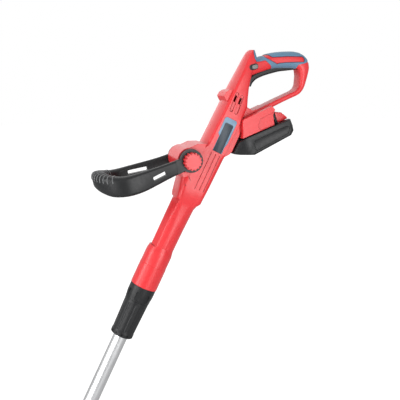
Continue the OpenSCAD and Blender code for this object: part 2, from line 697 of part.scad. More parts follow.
cable_r = 3;
module tube_plug() color("#2f3031") on_shaft() difference() {
    union() {
        translate([0, 0, tube_hold - 14]) cylinder(r = tube_r - tube_wall - 0.05, h = 14);
        translate([0, 0, tube_hold]) cylinder(r = tube_r, h = 2.5);
    }
    translate([0, 0, tube_hold - 20]) cylinder(r = cable_r, h = 30);
}

module power_cable() color("#1e1e1e") on_shaft()
    translate([0, 0, -shaft_l + tube_seat]) cylinder(r = cable_r, h = shaft_l - tube_seat + tube_hold + 4.5);

// ---- head ----

tongue_w = 30;
tongue_r = 17;
socket_r = tube_r + 4.5;
yoke_screw_z = [yoke_reach + 18, yoke_reach + 38];
yoke_screw_r = 2;
yoke_head_r = 3.8;
yoke_head_h = 2.6;
// where the heads of the yoke's screws seat
yoke_seat = tube_r + 3.6;
module on_hinge() translate([hinge_x, 0, hinge_z]) rotate([0, shaft_lean, 0]) children();

module head_yoke() color("#3a3b3d") on_hinge() difference() {
    union() {
        rotate([90, 0, 0]) cylinder(r = tongue_r, h = tongue_w, center = true);
        translate([-tongue_r + 2, -tongue_w / 2, 0]) cube([2 * tongue_r - 4, tongue_w, yoke_reach + 2]);
        translate([0, 0, yoke_reach - 2]) cylinder(r1 = tube_r + 2, r2 = socket_r, h = 5);
        translate([0, 0, yoke_reach + 2]) cylinder(r = socket_r, h = socket_l - 4);
        translate([0, 0, yoke_reach + socket_l - 3]) cylinder(r1 = socket_r, r2 = tube_r + 3, h = 3);
    }
    translate([0, 0, tube_seat]) cylinder(r = tube_r, h = 100);
    rotate([90, 0, 0]) cylinder(r = tilt_pin_d / 2 + run_gap, h = 60, center = true);
    for (z = yoke_screw_z) translate([0, 0, z]) rotate([90, 0, 0]) {
        cylinder(r = yoke_screw_r + 0.1, h = 30);
        translate([0, 0, yoke_seat]) cylinder(r = yoke_head_r + 0.2, h = 10);
    }
}

module yoke_screws() color("silver") on_hinge() for (z = yoke_screw_z) translate([0, 0, z]) {
    translate([0, -tube_r - 0.2, 0]) rotate([90, 0, 0]) cylinder(r = yoke_screw_r, h = 4.3);
    difference() {
        translate([0, -yoke_seat, 0]) rotate([90, 0, 0]) cylinder(r = yoke_head_r, h = yoke_head_h);
        translate([0, -yoke_seat - yoke_head_h, 0]) rotate([90, 0, 0])
            cylinder(d = 2.8, h = 3, center = true, $fn = 6);
    }
}

ear_y0 = tongue_w / 2 + 0.4;
ear_y1 = ear_y0 + 7;
cover_z0 = 53;
dome_z = hinge_z - 24;
motor_r = motor_d / 2;
module tilt_pin() color("silver") translate([hinge_x, -ear_y1 + 1, hinge_z]) rotate([-90, 0, 0])
    cylinder(r = tilt_pin_d / 2, h = 2 * ear_y1 - 2);

button_r = 8;
button_cap = 9;
// where the plant guard's ends enter the cover
wire_x = -8;
wire_z = 70;
hub_r = 9;
// circle on which the guard's screws stand
guard_screw_r = 31;
module motor_cover(s) difference() {
    intersection() {
        union() {
            rotate_extrude() polygon([[0, cover_z0], [motor_r - 1, cover_z0], [motor_r, cover_z0 + 1],
                [motor_r, dome_z - 36], [motor_r - 4, dome_z - 16], [motor_r - 14, dome_z - 4],
                [motor_r - 22, dome_z], [0, dome_z]]);
            for (k = [-1, 1]) {
                translate([hinge_x, k * (ear_y0 + ear_y1) / 2, hinge_z]) rotate([90, 0, 0])
                    cylinder(r = tongue_r, h = ear_y1 - ear_y0, center = true);
                translate([hinge_x - tongue_r, k < 0 ? -ear_y1 : ear_y0, dome_z - 16])
                    cube([2 * tongue_r, ear_y1 - ear_y0, hinge_z - dome_z + 16]);
            }
            translate([hinge_x, -ear_y1, hinge_z]) rotate([90, 0, 0])
                cylinder(r = button_r + 3, h = button_cap);
            // bosses for the plant guard
            for (k = [-1, 1]) translate([wire_x, k * (motor_r + 1), wire_z]) rotate([90, 0, 0])
                cylinder(r = wire_d / 2 + 4, h = 14, center = true);
        }
        translate([-60, s < 0 ? -60 : 0, cover_z0 - 1]) cube([120, 60, hinge_z]);
    }
    translate([0, 0, cover_z0 + 3]) cylinder(r = motor_r - 10, h = dome_z - cover_z0 - 12);
    translate([0, 0, cover_z0 - 1]) cylinder(r = hub_r + 1.5, h = 10);
    translate([hinge_x, 0, hinge_z]) rotate([90, 0, 0])
        cylinder(r = tilt_pin_d / 2, h = 2 * ear_y1 - 2, center = true);
    translate([hinge_x, -ear_y1 - button_cap - 1, hinge_z]) rotate([-90, 0, 0])
        cylinder(r = button_r + move_gap, h = button_cap + 1);
    // cooling slots around the shoulder
    for (i = [0 : 5], k = [-1, 1]) rotate([0, 0, k * (38 + 20 * i)])
        translate([motor_r - 14, -1.5, dome_z - 34]) cube([20, 3, 16]);
    for (k = [-1, 1]) translate([wire_x, k * (motor_r + 8), wire_z]) rotate([90, 0, 0])
        cylinder(r = wire_d / 2 + run_gap, h = 18, center = true);
    at_guard_screws() translate([0, 0, cover_z0 - 1]) cylinder(r = 1.6, h = 11);
}
module at_guard_screws() for (i = [0 : 3]) rotate([0, 0, 45 + 90 * i]) translate([guard_screw_r, 0, 0])
    children();

module tilt_lock_button() color("#d8383c") translate([hinge_x, -ear_y1 - 3.4, hinge_z])
    rotate([90, 0, 0]) union() {
    cylinder(r = button_r, h = button_cap - 1.6);
    translate([0, 0, button_cap - 1.6]) cylinder(r1 = button_r, r2 = button_r - 1, h = 1);
}

module motor_cover_left() color("#d8383c") motor_cover(-1);
module motor_cover_right() color("#d8383c") motor_cover(1);

can_r = 20;
can_z0 = cover_z0 + 8;
can_z1 = can_z0 + 54;
shaft_r = 2.5;
module motor_can() color("#8e9194") difference() {
    union() {
        translate([0, 0, can_z0]) cylinder(r = can_r, h = can_z1 - can_z0);
        // mounting ring that holds the can in the cover
        translate([0, 0, cover_z0 + 3]) cylinder(r = motor_r - 10.1, h = 5.2);
    }
    translate([0, 0, can_z0 + 2]) cylinder(r = can_r - 2, h = can_z1 - can_z0 - 4);
    translate([0, 0, cover_z0]) cylinder(r = shaft_r + 1, h = 80);
    translate([0, 0, cover_z0]) cylinder(r = hub_r + 1, h = 7);
}

module motor_rotor() color("#a8762f") union() {
    translate([0, 0, 30]) cylinder(r = shaft_r, h = can_z1 - 27);
    translate([0, 0, can_z0 + 8]) cylinder(r = can_r - 4, h = 32);
    translate([0, 0, can_z0 + 42]) cylinder(r = 6, h = 5);
}

// ---- guard ----

guard_r = cut_d / 2 + 10;
guard_z = 50;
guard_t = 2.6;
// underside of the plate round the hub
guard_low = guard_z - 0.6;
skirt_h = 30;
guard_span = 170;
// how far the cutter is turned round from the side, and its rivets' heights
cutter_turn = 9;
rivet_z = [guard_z - 22, guard_z - 12];
module guard() color("#3a3b3d") difference() {
    union() {
        rotate([0, 0, -guard_span / 2]) rotate_extrude(angle = guard_span, $fn = 96)
            polygon([[20, guard_z], [guard_r - 12, guard_z], [guard_r - 4, guard_z - 5],
                [guard_r - 3, guard_z - skirt_h], [guard_r, guard_z - skirt_h], [guard_r, guard_z - 4],
                [guard_r - 10, guard_z + guard_t], [20, guard_z + guard_t]]);
        translate([0, 0, guard_low]) difference() {
            cylinder(r = motor_r + 4, h = 12.6);
            translate([0, 0, cover_z0 - guard_low]) cylinder(r = motor_r + 0.2, h = 20);
            translate([wire_x - 9, -80, cover_z0 - guard_low + 0.4]) cube([18, 160, 20]);
        }
        for (a = [-75 : 30 : 75]) rotate([0, 0, a]) translate([motor_r + 3, -1.5, guard_z + guard_t - 0.5])
            cube([guard_r - motor_r - 14, 3, 4]);
    }
    translate([0, 0, guard_z - 1]) cylinder(r = hub_r + 3, h = 10);
    rotate([0, 0, -cutter_turn]) for (z = rivet_z) cutter_rivet(z);
    at_guard_screws() translate([0, 0, guard_z - 1]) cylinder(r = 2.2, h = 10);
}

module guard_screws() color("silver") at_guard_screws() {
    translate([0, 0, guard_low - 0.1]) cylinder(r = 1.5, h = 11);
    difference() {
        translate([0, 0, guard_low - 2]) cylinder(r = 3.6, h = 2);
        translate([0, 0, guard_low - 2]) cylinder(d = 2.6, h = 2, center = true, $fn = 6);
    }
}

cutter_x = -4;
cutter_h = 20;
// a bent blade, riveted to the skirt's end where the line comes past
module line_cutter() color("#c9cbcc") rotate([0, 0, -cutter_turn]) union() {
    difference() {
        translate([cutter_x, cut_d / 2, guard_z - 27]) cube([1.6, guard_r - 4.6 - cut_d / 2, cutter_h]);
        translate([cutter_x - 1, cut_d / 2 - 0.1, guard_z - 28]) rotate([0, 0, 45]) cube([1.2, 1.2, 30]);
    }
    translate([cutter_x, guard_r - 6.2, guard_z - 27]) cube([16, 1.6, cutter_h]);
    for (z = rivet_z) cutter_rivet(z);
}
module cutter_rivet(z) translate([cutter_x + 9, guard_r - 5, z]) rotate([-90, 0, 0])
    cylinder(r = 1.6, h = 5.6);

// ---- plant guard ----

wire_r = wire_d / 2;
ring_r = guard_r + 8;
ring_z = 30;
ring_a = 100;
// a round wire swept through points, closed at its ends
function wire_rings(p, r, n) = [for (i = [0 : len(p) - 1])
    let (a = p[max(i - 1, 0)], b = p[min(i + 1, len(p) - 1)], t = (b - a) / norm(b - a),
        u = cross([0, 0, 1], t) / norm(cross([0, 0, 1], t)), v = cross(t, u))
    [for (j = [0 : n - 1]) p[i] + r * (cos(360 * j / n) * u + sin(360 * j / n) * v)]];

elbow_y = motor_r + 16;
foot_x = ring_r * cos(ring_a);
foot_y = ring_r * sin(ring_a);
arc_steps = 24;
wire_path = concat(
    [[wire_x, elbow_y - 6, wire_z], [wire_x, elbow_y - 1, wire_z], [wire_x - 0.6, elbow_y + 3, wire_z - 1]],
    [[foot_x + 1, foot_y - 5, ring_z + 2]],
    [for (i = [0 : arc_steps]) let (a = ring_a + (360 - 2 * ring_a) * i / arc_steps)
        [ring_r * cos(a), ring_r * sin(a), ring_z]],
    [[foot_x + 1, -foot_y + 5, ring_z + 2]],
    [[wire_x - 0.6, -elbow_y - 3, wire_z - 1], [wire_x, -elbow_y + 1, wire_z],
        [wire_x, -elbow_y + 6, wire_z]]);
module plant_guard() color("#c6c8ca") union() {
    loft(wire_rings(wire_path, wire_r * 0.98, 10));
    for (k = [-1, 1]) translate([wire_x, k * (motor_r + 5.5), wire_z]) rotate([90, 0, 0])
        cylinder(r = wire_r, h = 11, center = true);
}

// ---- spool ----

spool_r = spool_d / 2;
spool_z0 = 8;
spool_z1 = 46;
mouth_r = 24;
// height of the two line exits, and the ribs round the spool housing
exit_z = 27;
spool_ribs = 10;
module spool_housing() color("#2f3032") difference() {
    union() {
        rotate_extrude() polygon([[mouth_r, spool_z0], [spool_r - 8, spool_z0], [spool_r, spool_z0 + 10],
            [spool_r, spool_z1 - 4], [spool_r - 4, spool_z1], [hub_r - 1, spool_z1],
            [hub_r - 1, spool_z1 - 3],
            [spool_r - 5, spool_z1 - 3], [spool_r - 3.2, spool_z1 - 5], [spool_r - 3.2, spool_z0 + 11],
            [spool_r - 9, spool_z0 + 3], [mouth_r, spool_z0 + 3]]);
        translate([0, 0, 17]) cylinder(r = hub_r - 1, h = 35);
        for (i = [0 : spool_ribs - 1]) rotate([0, 0, 360 * i / spool_ribs])
            translate([spool_r - 1.5, -2, spool_z0 + 12]) cube([3, 4, 20]);
        for (k = [-1, 1]) translate([0, k * (spool_r - 1), exit_z]) rotate([90, 0, 0])
            cylinder(r = 5, h = 5, center = true);
    }
    for (k = [-1, 1]) translate([0, k * spool_r, exit_z]) rotate([90, 0, 0])
        cylinder(r = 3.2, h = 14, center = true);
    translate([0, 0, 10]) cylinder(r = shaft_r, h = 50);
}

module line_eyelets() color("#b9bbbd") for (k = [-1, 1]) translate([0, k * (spool_r - 0.6), exit_z])
    rotate([90, 0, 0]) difference() {
        union() {
            cylinder(r = 3.15, h = 6, center = true);
            translate([0, 0, -k * 2.7]) cylinder(r = 4.2, h = 1.2, center = true);
        }
        cylinder(r = 1.6, h = 20, center = true);
    }

flange_r = spool_r - 3.2 - 2;
core_r = 17;
reel_z0 = 12.4;
middle_z = 23.4;
upper_z = 33.4;
module line_spool() color("#d06a2a") difference() {
    union() {
        translate([0, 0, reel_z0]) cylinder(r = flange_r - 5, h = 2.2);
        translate([0, 0, reel_z0]) cylinder(r = core_r, h = 23);
        translate([0, 0, middle_z]) cylinder(r = flange_r, h = 1.6);
        translate([0, 0, upper_z]) cylinder(r = flange_r, h = 2);
    }
    translate([0, 0, 10]) cylinder(r = hub_r - 1 + move_gap, h = 40);
    translate([0, 0, 27]) cylinder(r = 13, h = 20);
}

// the two windings as [foot, height]
windings = [[14.7, 8.6], [25.1, 8.2]];
module line_winding() color("#e6e04a") for (w = windings) translate([0, 0, w[0]]) difference() {
    cylinder(r = flange_r - 8, h = w[1]);
    translate([0, 0, -1]) cylinder(r = core_r + 0.1, h = 12);
}

spring_r = 10.6;
spring_wire = 0.6;
spring_turns = 4;
spring_z0 = 27.7;
spring_z1 = spool_z1 - 3.7;
module feed_spring() color("silver") loft([for (i = [0 : spring_turns * 14])
    let (a = 360 * i / 14, z = spring_z0 + (spring_z1 - spring_z0) * i / (spring_turns * 14))
    [for (j = [0 : 5]) let (r = spring_r + spring_wire * cos(-60 * j))
        [r * cos(a), r * sin(a), z + spring_wire * sin(-60 * j)]]]);

cap_r = mouth_r - 0.8;
module bump_cap() color("#d8383c") rotate_extrude() polygon([[0, 0], [11, 0], [17, 1.6], [21.5, 5],
    [cap_r, 8], [cap_r, 12.3], [0, 12.3]]);

// ---- battery ----

pack_hw = pack_w / 2;
module case_profile() polygon([[-28.5, -21.5], [-28.3, -18.4], [-13, -3], [1.8, 0], [98.3, 0], [100, -14],
    [97, -22.5], [88.8, 6.5 - pack_h], [6, -pack_h], [-20, -26]]);
module battery_case() color("#2e2f31") on_shaft() on_dock() difference() {
    intersection() {
        across(pack_w) case_profile();
        translate([0, 0, -50]) linear_extrude(60) polygon([[-30, 12 - pack_hw], [-3, -pack_hw],
            [96, -pack_hw], [101, 6 - pack_hw], [101, pack_hw - 6], [96, pack_hw], [-3, pack_hw],
            [-30, pack_hw - 12]]);
    }
    translate([3.5, -cell_l / 2 - 1.2, -cell_d - 8]) cube([cells * cell_d + 0.6, cell_l + 2.4, cell_d + 6]);
    // shallow field on each side
    for (s = [-1, 1]) translate([0, s * pack_hw, 0]) across(1.4) polygon([[12, -28], [14, -30],
        [84, -24.5], [90, -18], [90, -13], [86, -9], [16, -11], [12, -15]]);
    translate([75.5, -tower_hw + 1.5, -3]) cube([40, 2 * tower_hw - 3, 10]);
    translate([76, -16, -4.6]) cube([20, 32, 10]);
}

module battery_tower() color("#2a2a2c") on_shaft() on_dock() difference() {
    union() {
        translate([tower_p0, 0, 0]) rotate([90, 0, 90]) linear_extrude(60) intersection() {
            tower_outline(0);
            translate([-50, 0]) square([100, 60]);
        }
        across(2 * tower_hw) polygon([[tower_p0 + 60, 0], [tower_p0 + 60, tower_top + 1.5],
            [75.4, tower_top + 0.6], [75.4, 0]]);
    }
    for (y = contact_y) translate([tower_p0 - 1, y - 1.1, rail_z - 2]) cube([18, 2.2, 10]);
    translate([tower_p0 + 20, -18, -1]) cube([38, 36, tower_top - 2]);
}

cells = 5;
module battery_cells() color("#7fa8b8") on_shaft() on_dock() for (i = [0 : cells - 1])
    bar(4 + cell_d / 2 + i * cell_d, -cell_d / 2 - 5.6, cell_d / 2 - 0.05, -cell_l / 2, cell_l / 2);

// welded strips that join the cells in a row, on the far side one place further on
strip_t = 0.3;
module cell_connectors() color("silver") on_shaft() on_dock() for (s = [-1, 1], i = [0 : 1])
    translate([7 + (i + (s > 0 ? 0.5 : 0)) * 2 * cell_d,
        s > 0 ? cell_l / 2 + 0.05 : -cell_l / 2 - 0.05 - strip_t, -cell_d / 2 - 9])
        cube([cell_d * 1.6, strip_t, 7]);

// thumb grooves across the latch as [p, q, lean]
thumb_grooves = [[82, 19.7, 24], [87.2, 17.6, 33], [91.6, 13.2, 52]];
module battery_latch_button() color("#d8383c") on_shaft() on_dock() difference() {
    union() {
        across(2 * tower_hw - 4) polygon([[76, 0.6], [76, 20.4], [79, 21], [89.6, 16.3], [97.4, 3.6],
            [97, 0.6]]);
        translate([76.6, -15.4, -1]) cube([18, 30.8, 2]);
    }
    for (v = thumb_grooves) translate([v[0], 0, v[1]]) rotate([0, v[2], 0]) cube([2, 80, 2], center = true);
}

left_housing();
right_housing();
grip_skin_left();
grip_skin_right();
badge_frame();
badge_plate();
housing_screws();
collar_base();
split_collet();
twist_sleeve();
dock_terminals();
control_board();
trigger_switch();
trigger();
trigger_pin();
lock_off_button();
loop_handle();
loop_grip();
clamp_bolt();
clamp_knob();
knob_insert();
telescopic_tube();
tube_plug();
power_cable();
head_yoke();
yoke_screws();
tilt_pin();
tilt_lock_button();
motor_cover_left();
motor_cover_right();
motor_can();
motor_rotor();
guard();
guard_screws();
line_cutter();
plant_guard();
spool_housing();
line_eyelets();
line_spool();
line_winding();
feed_spring();
bump_cap();
battery_case();
battery_tower();
battery_cells();
cell_connectors();
battery_latch_button();
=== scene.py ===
import json
import math

import bpy
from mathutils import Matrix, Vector


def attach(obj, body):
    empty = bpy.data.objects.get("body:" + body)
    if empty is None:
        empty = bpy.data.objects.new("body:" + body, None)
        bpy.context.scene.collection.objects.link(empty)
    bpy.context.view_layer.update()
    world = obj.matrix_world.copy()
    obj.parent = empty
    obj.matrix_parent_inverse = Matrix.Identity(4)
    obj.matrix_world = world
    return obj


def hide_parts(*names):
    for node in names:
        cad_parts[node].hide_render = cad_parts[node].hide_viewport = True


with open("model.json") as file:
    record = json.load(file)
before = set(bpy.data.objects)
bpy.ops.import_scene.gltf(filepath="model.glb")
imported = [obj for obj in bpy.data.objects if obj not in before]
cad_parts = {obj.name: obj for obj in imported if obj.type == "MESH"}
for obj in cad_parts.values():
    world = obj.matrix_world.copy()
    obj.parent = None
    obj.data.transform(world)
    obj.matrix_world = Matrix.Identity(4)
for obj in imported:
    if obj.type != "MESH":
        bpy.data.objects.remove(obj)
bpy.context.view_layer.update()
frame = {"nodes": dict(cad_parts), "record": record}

print("frame loaded:", len(frame["nodes"]), "nodes")

cameraView = {"aim": (0.3524, 0.0, 0.7817), "eye": (0.0166, -1.0983, 1.0049), "lens": 54.0, "film": 36.0,
              "near": 0.02, "far": 60.0}


def aimAt(thing, place, aim):
    # camera and lamps look along their own -Z
    thing.location = place
    thing.rotation_euler = (Vector(aim) - Vector(place)).to_track_quat("-Z", "Y").to_euler()
    bpy.context.collection.objects.link(thing)


def placeCamera():
    data = bpy.data.cameras.new("productCamera")
    data.lens, data.sensor_width = cameraView["lens"], cameraView["film"]
    data.clip_start, data.clip_end = cameraView["near"], cameraView["far"]
    camera = bpy.data.objects.new("productCamera", data)
    aimAt(camera, cameraView["eye"], cameraView["aim"])
    bpy.context.scene.camera = camera


placeCamera()


def feed(tree, socket, value):
    # links an output to a socket, or sets a plain number, vector, colour or choice on it
    if isinstance(value, bpy.types.NodeSocket):
        tree.links.new(value, socket)
    else:
        socket.default_value = (*value, 1.0) if socket.type == "RGBA" else value


def addNode(tree, kind, place=(0, 0), feeds=None, **settings):
    node = tree.nodes.new(kind)
    node.location = place
    for name, value in settings.items():
        setattr(node, name, value)
    for key, value in (feeds or {}).items():
        feed(tree, node.inputs[key], value)
    return node


def newGroup(name, kind, inputs, outputs):
    # gives the tree, the values that come in by name, and the sockets that take what goes out
    tree = bpy.data.node_groups.new(name, kind)
    for socketName, socketType, start in inputs:
        socket = tree.interface.new_socket(socketName, in_out="INPUT", socket_type=socketType)
        if start is not None:
            socket.default_value = start
    for socketName, socketType in outputs:
        tree.interface.new_socket(socketName, in_out="OUTPUT", socket_type=socketType)
    source = addNode(tree, "NodeGroupInput", (-900, 0))
    return tree, source.outputs, addNode(tree, "NodeGroupOutput", (900, 0)).inputs


def newShapeGroup(name, inputs):
    # a Geometry Nodes tree: seed points or edges come in, a finished mesh goes out
    return newGroup(name, "GeometryNodeTree", [("Geometry", "NodeSocketGeometry", None)] + inputs,
                    [("Geometry", "NodeSocketGeometry")])


def mathNode(tree, operation, *values):
    return addNode(tree, "ShaderNodeMath", feeds=dict(enumerate(values)), operation=operation).outputs[0]


def times(tree, first, second):
    return mathNode(tree, "MULTIPLY", first, second)


def plus(tree, first, second):
    return mathNode(tree, "ADD", first, second)


def vectorOf(tree, x=0.0, y=0.0, z=0.0):
    return addNode(tree, "ShaderNodeCombineXYZ", (-700, -500), {0: x, 1: y, 2: z}).outputs[0]


def turnVector(tree, vector, turn):
    return addNode(tree, "ShaderNodeVectorRotate", (-700, 200), {"Vector": vector, "Rotation": turn},
                   rotation_type="EULER_XYZ").outputs["Vector"]


def rangeNode(tree, value, fromLow, fromHigh, toLow=0.0, toHigh=1.0):
    feeds = {"Value": value, "From Min": fromLow, "From Max": fromHigh, "To Min": toLow, "To Max": toHigh}
    return addNode(tree, "ShaderNodeMapRange", (-300, -300), feeds).outputs["Result"]


def mixColour(tree, share, first, second):
    # the mix node keeps its colours in sockets 6 and 7 and gives them out by socket 2
    feeds = {0: share, 6: first, 7: second}
    return addNode(tree, "ShaderNodeMix", (-400, 300), feeds, data_type="RGBA").outputs[2]


def noiseNode(tree, place, scale, detail=2.0, roughness=0.5):
    feeds = {"Vector": place, "Scale": scale, "Detail": detail, "Roughness": roughness}
    return addNode(tree, "ShaderNodeTexNoise", (-500, 0), feeds).outputs["Fac"]


def objectPlace(tree):
    return addNode(tree, "ShaderNodeTexCoord", (-900, 300)).outputs["Object"]


mouldSkin = {"grainDetail": 3.0, "grainRoughness": 0.6, "pitShare": 0.5, "tintScale": 14.0,
             "sheenScale": 160.0, "sheenDetail": 4.0}


def makeMouldGrain():
    # fine spark-eroded skin of a mould: a height, a slow tint and a roughness mask
    tree, value, out = newGroup("mouldGrain", "ShaderNodeTree",
        [("grainSize", "NodeSocketFloat", 900.0), ("grainDepth", "NodeSocketFloat", 0.3)],
        [("height", "NodeSocketFloat"), ("tint", "NodeSocketFloat"), ("sheenMask", "NodeSocketFloat")])
    place = objectPlace(tree)
    grain = noiseNode(tree, place, value["grainSize"], mouldSkin["grainDetail"], mouldSkin["grainRoughness"])
    pits = addNode(tree, "ShaderNodeTexVoronoi", (-500, -100), {"Vector": place, "Scale": value["grainSize"]},
                   feature="SMOOTH_F1")
    height = plus(tree, grain, times(tree, pits.outputs["Distance"], mouldSkin["pitShare"]))
    feed(tree, out["height"], times(tree, height, value["grainDepth"]))
    feed(tree, out["tint"], noiseNode(tree, place, mouldSkin["tintScale"]))
    feed(tree, out["sheenMask"], noiseNode(tree, place, mouldSkin["sheenScale"], mouldSkin["sheenDetail"]))
    return tree


# flat and corner say how well the rounded normal still agrees with the face, and so where the painted edge
# highlight starts and is full; the creases how open they are, and so how dark the painted shade in them is
edgePaintSettings = {"samples": 6, "flat": 0.97, "corner": 0.75, "patchScale": 60.0, "patchDetail": 4.0,
            "patches": (0.35, 0.7), "openCrease": 0.80, "fullCrease": 0.30}


def makeEdgeLightAndShade():
    # rounds the normal at edges, paints a patchy highlight on corners, and paints shade into grooves and
    # seams by how closed in they are
    tree, value, out = newGroup("edgeLightAndShade", "ShaderNodeTree",
        [("roundTo", "NodeSocketFloat", 0.0006), ("amount", "NodeSocketFloat", 0.3),
         ("creaseReach", "NodeSocketFloat", 0.003), ("creaseAmount", "NodeSocketFloat", 0.9)],
        [("edge", "NodeSocketFloat"), ("creaseShade", "NodeSocketFloat"), ("rounded", "NodeSocketVector")])
    normal = addNode(tree, "ShaderNodeNewGeometry", (-700, 300)).outputs["Normal"]
    rounded = addNode(tree, "ShaderNodeBevel", (-700, 100), {"Radius": value["roundTo"]},
                      samples=edgePaintSettings["samples"]).outputs["Normal"]
    feed(tree, out["rounded"], rounded)
    facing = addNode(tree, "ShaderNodeVectorMath", (-500, 200), {0: normal, 1: rounded},
                     operation="DOT_PRODUCT")
    patches = noiseNode(tree, objectPlace(tree), edgePaintSettings["patchScale"], edgePaintSettings["patchDetail"])
    # painted highlight: where the rounded normal turns away from the face the colour goes lighter, in random
    # patches
    edgeLit = rangeNode(tree, facing.outputs["Value"], edgePaintSettings["flat"], edgePaintSettings["corner"])
    edgeLit = times(tree, edgeLit, rangeNode(tree, patches, *edgePaintSettings["patches"]))
    feed(tree, out["edge"], times(tree, edgeLit, value["amount"]))
    # painted shade: the less open a spot is to the air around it, the darker its colour is drawn
    shade = addNode(tree, "ShaderNodeAmbientOcclusion", (-700, -500), {"Distance": value["creaseReach"]},
                    samples=edgePaintSettings["samples"])
    creaseShade = rangeNode(tree, shade.outputs["AO"], edgePaintSettings["openCrease"], edgePaintSettings["fullCrease"])
    feed(tree, out["creaseShade"], times(tree, creaseShade, value["creaseAmount"]))
    return tree


drawnMarks = {"lineDetail": 4.0, "smearScale": 22.0}


def makeDrawnLines():
    # long fine lines left by drawing or turning, along the piece's own axis
    tree, value, out = newGroup("drawnLines", "ShaderNodeTree",
        [("turn", "NodeSocketVector", None), ("squeeze", "NodeSocketVector", (400.0, 400.0, 4.0))],
        [("lines", "NodeSocketFloat"), ("smear", "NodeSocketFloat")])
    place = objectPlace(tree)
    turned = turnVector(tree, place, value["turn"])
    stretched = addNode(tree, "ShaderNodeVectorMath", (-500, 200), {0: turned, 1: value["squeeze"]},
                        operation="MULTIPLY")
    feed(tree, out["lines"], noiseNode(tree, stretched.outputs["Vector"], 1.0, drawnMarks["lineDetail"]))
    feed(tree, out["smear"], noiseNode(tree, place, drawnMarks["smearScale"]))
    return tree


mouldGrain = makeMouldGrain()
edgeLightAndShade = makeEdgeLightAndShade()
drawnLines = makeDrawnLines()
print("shared effects built")


def startMaterial(name, look):
    material = bpy.data.materials.new(name)
    material.use_nodes = True
    material.diffuse_color = (*look["colour"], 1.0)
    tree = material.node_tree
    return material, tree, next(node for node in tree.nodes if node.type == "BSDF_PRINCIPLED")


def placeGroup(tree, group, **values):
    return addNode(tree, "ShaderNodeGroup", (-1100, 0), values, node_tree=group).outputs


maskSpan = (0.3, 0.7)  # between these a noise mask runs from the smooth to the dull end of a finish


def dressShader(tree, shader, look, colour, mask, height, normal):
    bump = addNode(tree, "ShaderNodeBump", (-200, -600),
                   {"Height": height, "Distance": look["depth"], "Strength": 1.0, "Normal": normal})
    feed(tree, shader.inputs["Base Color"], colour)
    feed(tree, shader.inputs["Roughness"], rangeNode(tree, mask, *maskSpan, *look["rough"]))
    feed(tree, shader.inputs["Normal"], bump.outputs["Normal"])


